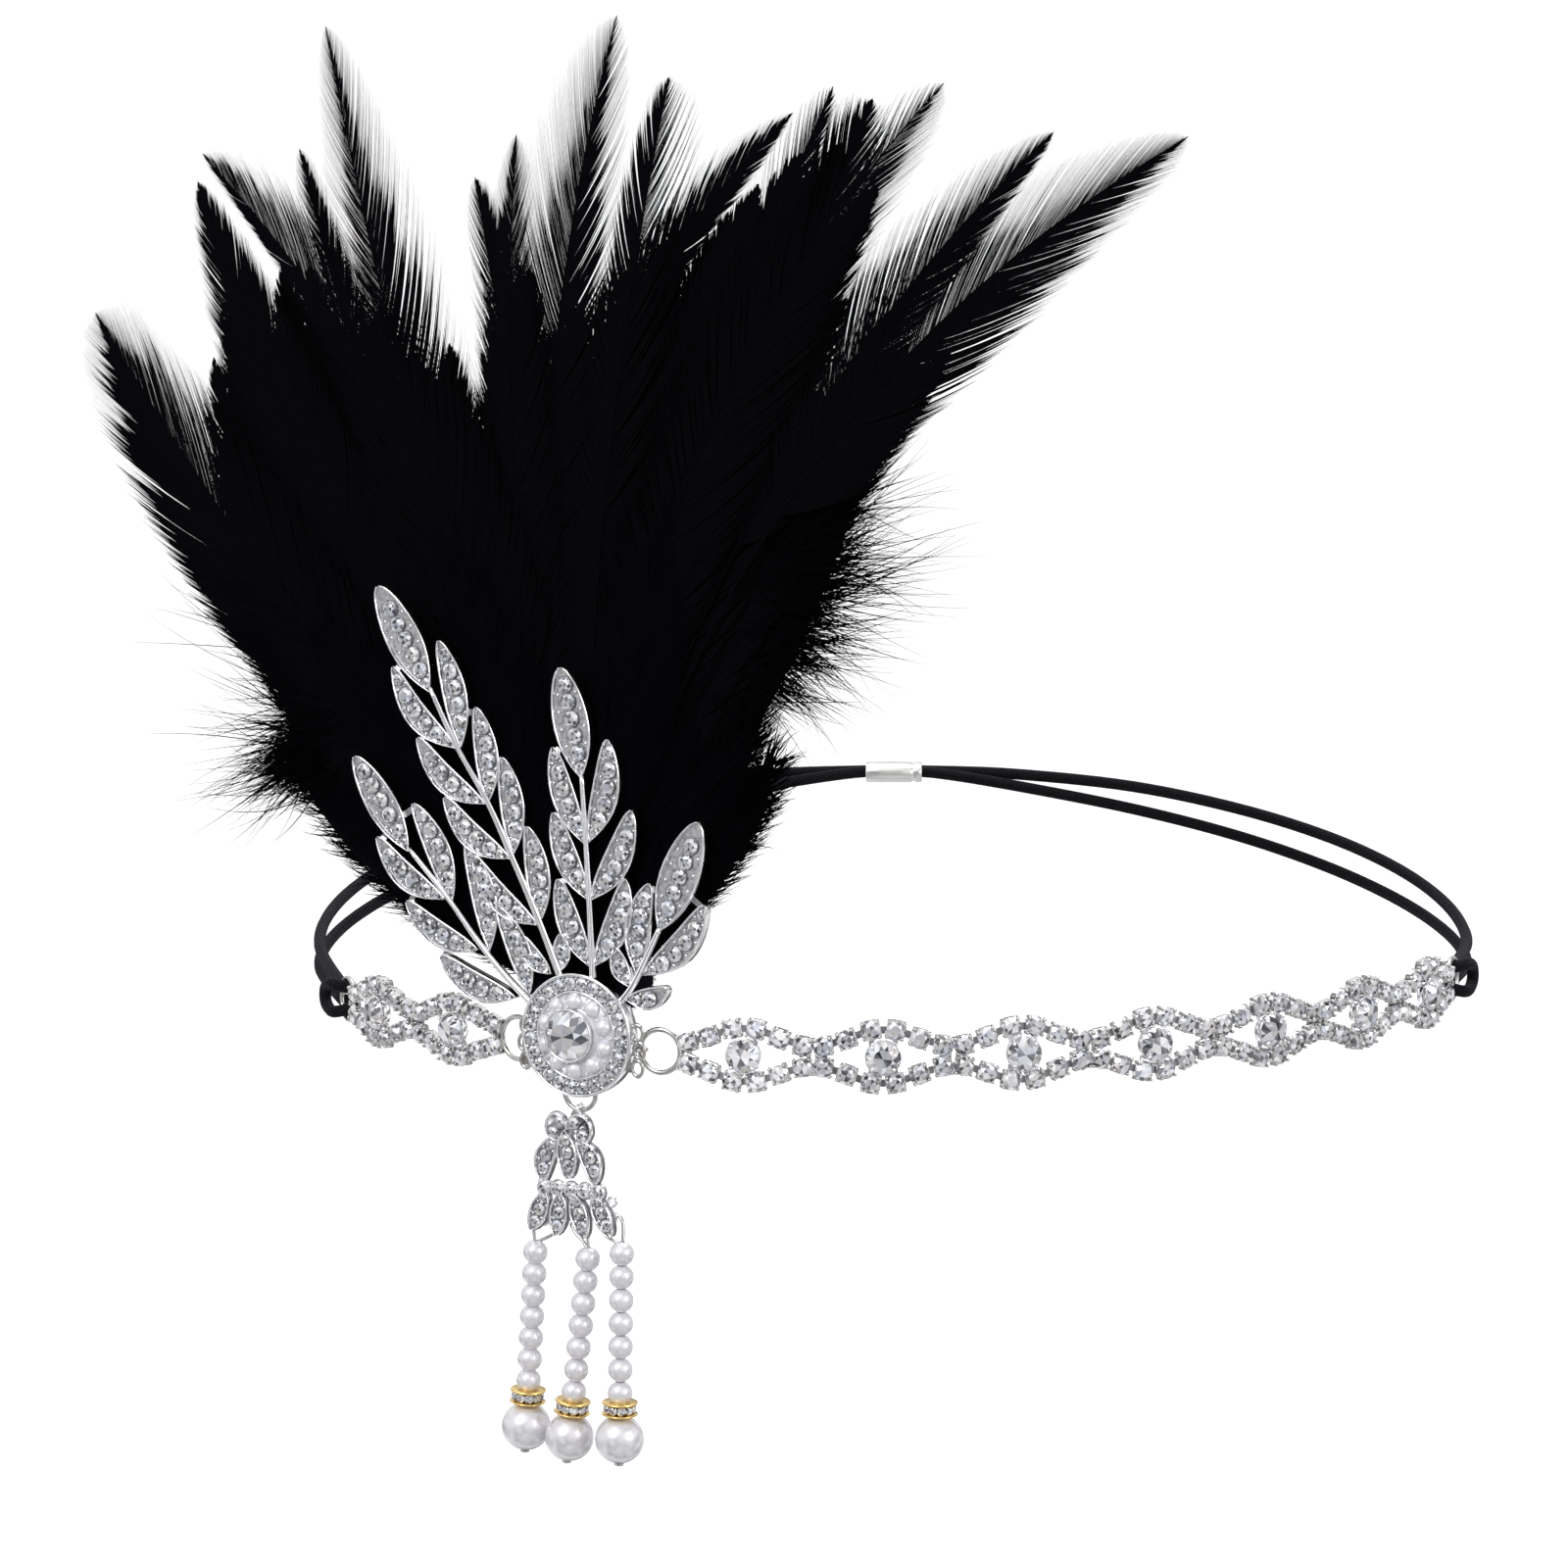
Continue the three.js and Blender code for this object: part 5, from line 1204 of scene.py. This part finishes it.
def addHackle(heap, row, form):
    tipU, tipV, bow, back, blunt, leftVane, rightVane = row
    low, steps, count = form["from"], form["steps"], form["barbs"]
    shares = np.linspace(0, 1, form["shaftPoints"])
    line, _, _, length = shaftCurve(tipU, tipV, bow, back, shares)
    taper = form["shaft"] * np.linspace(1.0, 0.2, form["shaftPoints"])
    addShape(heap, tube(place(line, brooch), taper, 5))
    ends = np.linspace(low, 1, form["samples"])
    mean = np.radians(np.interp(ends, [low, 0.7, 1], [form["baseAngle"], form["midAngle"], form["tipAngle"]]))
    for side, (vane, close, solidLow, solidTip) in ((-1, leftVane), (1, rightVane)):
        starts = ends - vane * vaneProfile(ends, low, blunt) / np.tan(mean) / length
        starts = np.maximum.accumulate(starts)
        at = low + (1 - low) * (np.arange(count) + dice.uniform(0.35, 0.65, count)) / count
        groups = np.repeat(np.arange(count), dice.integers(*form["clump"], count))[:count]
        loose = min(1.0, max(0.12, 1.3 - solidLow))  # an open vane parts into clumps
        ending = gather(np.interp(at, starts, ends), groups, form["stick"] * loose)
        half = vane * vaneProfile(ending, low, blunt) * (1 + dice.normal(0, 0.07, count)[groups] * loose)
        run = np.maximum((ending - at) * length, 0.3)
        angle = np.arctan2(half, run)
        bent = form["bend"] + dice.uniform(-0.1, 0.1, count)[groups] * loose
        cut = 1 + dice.normal(0, 0.05, count)
        cut *= np.where(dice.random(count) < form["brokenShare"], form["broken"], 1.0)
        lengths = np.hypot(half, run) * 1.02 * cut
        points, slope, right, _ = shaftCurve(tipU, tipV, bow, back, at)
        leave, arrive = (angle * (1 + bent))[:, None], (angle * (1 - bent))[:, None]
        first = np.cos(leave) * slope + np.sin(leave) * right * side
        last = np.cos(arrive) * slope + np.sin(arrive) * right * side
        last[:, 2] += dice.normal(0, 0.01, count)
        last = first + (last - first) * cut[:, None]  # a short barb stops early on the same curve
        normals = unit(np.cross(slope, right) + dice.normal(0, 0.1, (count, 1)) * right)
        share = np.linspace(0, 1, steps + 1)
        solid = np.interp(at, [low, 1], [solidLow, solidTip]) * (1 + dice.normal(0, 0.12, count)[groups])
        web = np.clip((solid[:, None] + 0.1 - share[None]) / 0.2, 0, 1)
        web *= np.interp(share, [0.7, 1], [1, 0.15])
        spacing = length * (1 - low) / count
        inner = spacing * np.sin(leave[:, 0]) * close * dice.uniform(0.8, 1.2, count)
        hair = form["hair"] * (1.15 - share)[None]
        widths = np.maximum(inner[:, None] * web, hair)
        addBarbs(heap, points, first, last, lengths, normals, widths)


fillers = [  # tips of dark feathers that fill the fan
    (-76, 108), (-77, 97), (-74, 122), (-65, 124), (-59, 124), (-64, 113), (-55, 116), (-46, 118), (-37, 111),
    (-30, 105), (-21, 118), (-15, 125), (-8, 120), (-1, 116), (6, 127), (13, 133), (21, 135), (29, 140),
    (36, 145), (44, 147), (49, 140), (45, 122), (56, 115), (62, 114), (-30, 112), (-12, 108), (22, 118),
    (36, 126),
]
fillerForm = dict(hackleForm, barbs=210, steps=5, hair=0.1)

front = Heap()
for row in hackles:
    addHackle(front, row, dict(hackleForm, **{"from": 0.48}) if row[0] > 80 else hackleForm)
addPiece("hackle_feathers", front, hackle, ["feather_plume"])
rear = Heap()
for tipU, tipV in fillers:
    bowed = -0.0012 * abs(tipU)
    wide = (9.5, 2.2, 0.98, 0.88)
    addHackle(rear, (tipU, tipV, bowed, dice.uniform(7, 13), 0.15, wide, wide), fillerForm)
addPiece("filling_feathers", rear, hackle)
print("feathers made")

locks = [  # tip across, tip up, width, back, share of the length that is closed
    (-43, 28, 10, 2, 0.28), (-57, 33, 13, 4, 0.47), (-68, 38, 16, 11, 0.72), (-81, 52, 18, 8, 0.72),
    (-84, 70, 19, 19, 0.7), (-78, 92, 19, 8, 0.85), (-58, 103, 23, 23, 0.95), (-34, 106, 23, 8, 0.95),
    (-8, 108, 23, 25, 1.0), (18, 109, 23, 8, 1.0), (42, 105, 23, 23, 1.0), (61, 98, 18, 8, 0.5),
    (60, 80, 18, 19, 0.54), (54, 66, 17, 8, 0.56),
    (42, 51, 14, 15, 0.32), (33, 39, 10, 4, 0.22), (23, 26, 8, 1, 0.2),
]
lockForm = {"sides": 12, "rings": 12, "core": 0.84, "flat": 0.42, "hairs": 680, "steps": 4,
            "leave": (0.55, 0.16), "settle": (0.1, 0.3), "reach": (0.25, 0.55), "thick": (0.14, 0.3)}


def addLock(cores, hairs, row):  # a spindle of packed down with hairs standing off it
    tipU, tipV, width, back, closed = row
    width = width * closed**0.4
    sides, flat = lockForm["sides"], lockForm["flat"]

    def surface(shares, turns):
        line, slope, right, _ = shaftCurve(tipU, tipV, 0.0, back, shares * closed)
        swell = 0.5 * width * np.power(np.sin(math.pi * np.power(np.clip(shares, 0.001, 0.999), 1.3)), 0.7)
        lift = np.cross(right, slope)
        off = right * np.cos(turns)[:, None] + lift * flat * np.sin(turns)[:, None]
        return line, slope, off, swell[:, None]

    rings = lockForm["rings"]
    stations = np.repeat(np.linspace(0, 1, rings), sides)
    line, slope, off, swell = surface(stations, np.tile(around(sides), rings))
    cores.add(place(line + off * swell * lockForm["core"], brooch), [gridFaces(rings, sides, True)])
    count = lockForm["hairs"]
    shares = np.sqrt(dice.uniform(0.03, 1, count))
    turns = dice.uniform(0, 2 * math.pi, count)
    line, slope, off, swell = surface(shares, turns)
    first, last = (unit(slope + unit(off) * stand + dice.normal(0, stray, (count, 3)))
                   for stand, stray in (lockForm["leave"], lockForm["settle"]))
    first[:, 2] = np.minimum(first[:, 2], 0.1)
    last[:, 2] = np.minimum(last[:, 2], 0.0)
    lengths = dice.uniform(*lockForm["reach"], count) * width
    normals = hairNormals(count)
    widths = taperedWidths(dice.uniform(*lockForm["thick"], count), lockForm["steps"], 0.7, 0.12)
    addBarbs(hairs, line + off * swell * 0.8, unit(first), unit(last), lengths, normals, widths)


tufts = [  # across, up, heading in degrees, reach
    (43, 91, 40, 14), (41, 87, 28, 20), (40, 83, 18, 24), (40, 79, 12, 26), (40, 75, 6, 25), (39, 71, 0, 21),
    (39, 67, -10, 16), (38, 63, -18, 15), (35, 59, -22, 14), (28, 54, -25, 9), (17, 50, -25, 4),
    (12, 46, 0, 4), (10, 42, -5, 5), (7, 39, -5, 5), (4, 36, -5, 5), (0, 32, -10, 5), (-4, 27, -12, 4),
    (-66, 68, 148, 12),
    (-64, 62, 142, 20), (-60, 56, 150, 22), (-57, 51, 166, 20), (-57, 48, 184, 20), (-57, 46, 196, 20),
    (-57, 44, 204, 21), (-58, 42, 208, 21), (-59, 40, 212, 19), (-58, 38, 214, 15), (-52, 36, 214, 8),
    (-28, 22, 215, 7),
]
tuftForm = {"hairs": 150, "strays": 14, "steps": 6, "inside": 12.0, "thick": 2.4, "front": -5.5, "lean": 7.0,
            "spread": 1.9, "strayFan": 16, "fan": 11, "strayHair": 0.22, "hair": (0.13, 0.26)}


def addTuft(heap, u, v, heading, reach):
    count = tuftForm["hairs"]
    stray = np.arange(count) < tuftForm["strays"]
    main = np.radians(heading + dice.normal(0, 4))
    spread = dice.normal(0, tuftForm["spread"], (count, 2))
    inside = dice.uniform(1.0, tuftForm["inside"], count)
    fan = [dice.normal(0, tuftForm[kind], count) for kind in ("strayFan", "fan")]
    angle = main + np.radians(np.where(stray, *fan))
    way = np.stack([np.cos(angle), np.sin(angle)], axis=-1)
    flat = np.array((u, v)) + spread - way * inside[:, None]
    depth = tuftForm["front"] - tuftForm["lean"] * (np.clip(flat[:, 1], 0, 200) / 120)**2
    points = np.column_stack([flat, depth + dice.normal(0, tuftForm["thick"], count).clip(-5, 3.5)])
    crossed = spread @ np.array((-math.sin(main), math.cos(main)))
    final = angle + dice.normal(0, 0.2) + dice.normal(0, 0.16, count) - crossed * 0.05
    tilt = dice.normal(0, 0.22, count)
    first = unit(np.column_stack([way, tilt]))
    last = unit(np.column_stack([np.cos(final), np.sin(final), tilt + dice.normal(0, 0.2, count)]))
    lengths = inside + np.where(stray, reach * dice.uniform(0.8, 1.2, count),
                                reach * dice.beta(1.3, 3.0, count))
    normals = hairNormals(count)
    thick = np.where(stray, tuftForm["strayHair"], dice.uniform(*tuftForm["hair"], count))
    widths = taperedWidths(thick, tuftForm["steps"], 0.75, 0.14)
    addBarbs(heap, points, first, last, lengths, normals, widths)


cores, down = Heap(), Heap()
for row in locks:
    addLock(cores, down, row)
addPiece("plume_core", cores, fluffBlack)
addPiece("fluff_down", down, fluffBlack)
fringe = Heap()
for row in tufts:
    addTuft(fringe, *row)
addPiece("fluff_tufts", fringe, fluffBlack)


def addFelt():  # pad behind the leaves, with a fuzzy edge
    pad = {"u": -2.0, "v": 9.0, "wide": 12.6, "tall": 7.1, "back": -6.5, "thick": 1.6, "fibres": 900}
    heap = Heap()
    profile = [(0.02, 0), (0.96, 0), (1.0, 0.3), (1.0, 1.2), (0.95, pad["thick"]), (0.02, pad["thick"])]
    points, faces = lathe(profile, 64)
    points[:, 0] *= pad["wide"]
    points[:, 1] *= pad["tall"]
    heap.add(place(points, brooch @ shift(pad["u"], pad["v"], pad["back"])), faces)
    count = pad["fibres"]
    turn = dice.uniform(0, 2 * math.pi, count)
    rim = np.stack([np.cos(turn) * pad["wide"] + pad["u"], np.sin(turn) * pad["tall"] + pad["v"],
                    pad["back"] + dice.uniform(0.1, pad["thick"], count)], axis=-1)
    out = unit(np.stack([np.cos(turn), np.sin(turn), dice.normal(0, 0.3, count)], axis=-1))
    widths = np.tile(np.array((0.08, 0.06, 0.02)), (count, 1))
    addBarbs(heap, rim, out, unit(out + dice.normal(0, 0.5, (count, 3))), dice.uniform(0.3, 0.9, count),
             np.tile((0.0, 0.0, 1.0), (count, 1)), widths)
    addPiece("felt_backing", heap, felt, ["felt_pad"])


addFelt()
print("fluff and felt made")


# floor and light

studio = {"floor": -0.2, "world": 0.35, "gap": 0.16, "panel": 1.32, "glow": 0.55}
sweep = [(-3.0, 0.0), (1.2, 0.0), (1.7, 0.06), (2.05, 0.25), (2.25, 0.6), (2.3, 1.2), (2.3, 4.0)]  # back, up
lamps = {  # place, aim, size, power
    "keyLight": ((-0.9, -1.3, 1.1), (0, 0, 0.05), (0.9, 0.9), 16.0),
    "fillLight": ((1.2, -1.0, 0.5), (0, 0, 0.05), (0.7, 0.9), 7.0),
    "topLight": ((0.1, 0.3, 1.4), (0, 0, 0), (1.4, 1.0), 14.0),
}


def addStage():
    corners = [(x, y, studio["floor"] + z) for y, z in sweep for x in (-4.0, 4.0)]
    faces = gridFaces(len(sweep), 2, False)[:, ::-1].tolist()
    mesh = bpy.data.meshes.new("studioFloor")
    mesh.from_pydata(corners, [], faces)
    for face in mesh.polygons:
        face.use_smooth = True
    floor = bpy.data.objects.new("studioFloor", mesh)
    bpy.context.scene.collection.objects.link(floor)
    material, nodes, links, shader = newMaterial("paleFloor")
    grain = newNode(nodes, "TexNoise", {"Scale": 6.0})
    tint = newNode(nodes, "Mix", {"A": (0.9, 0.9, 0.9, 1), "B": (0.93, 0.93, 0.93, 1)}, data_type="RGBA")
    join(links, (grain, "Fac", tint, "Factor"), (tint, "Result", shader, "Base Color"),
         (tint, "Result", shader, "Emission Color"))
    setInputs(shader, {"Emission Strength": studio["glow"], "Roughness": 0.8})
    mesh.materials.append(material)
    floor.visible_diffuse = False  # a bright backdrop that doesn't flood the object
    floor.visible_glossy = False


def addLight(name, spot, aim, size, power):
    data = bpy.data.lights.new(name, "AREA")
    data.shape = "RECTANGLE"
    data.size, data.size_y = size
    data.energy = power
    lamp = bpy.data.objects.new(name, data)
    back = unit(np.array(spot) - np.array(aim))  # a lamp shines along its own -Z
    side = unit(np.cross((0, 0, 1), back))
    lamp.matrix_world = [list(column) for column in basis(side, np.cross(back, side), back, spot).T]
    bpy.context.scene.collection.objects.link(lamp)


def setWorld():
    world = bpy.data.worlds.new("studioWorld")
    bpy.context.scene.world = world
    world.use_nodes = True
    nodes, links = world.node_tree.nodes, world.node_tree.links
    sky = nodes["Background"]
    setInputs(sky, {"Color": (1, 1, 1, 1)})
    rays = newNode(nodes, "LightPath")
    panels = newNode(nodes, "TexNoise", {"Scale": 2.2, "Detail": 1.0})  # what the plating mirrors
    shine = newNode(nodes, "MapRange", {"From Min": 0.38, "From Max": 0.58, "To Min": studio["gap"],
                                        "To Max": studio["panel"]})
    level = newNode(nodes, "MapRange", {"To Min": studio["world"]})
    bright = newNode(nodes, "Math", operation="MAXIMUM")
    join(links, (panels, "Fac", shine, "Value"), (shine, "Result", level, "To Max"),
         (rays, "Is Glossy Ray", level, "Value"), (level, "Result", bright, 0),
         (rays, "Is Camera Ray", bright, 1), (bright, 0, sky, "Strength"))


addStage()
for name, row in lamps.items():
    addLight(name, *row)
setWorld()
print("stage and light set")

bpy.context.scene.view_settings.view_transform = "Standard"
bpy.context.view_layer.update()
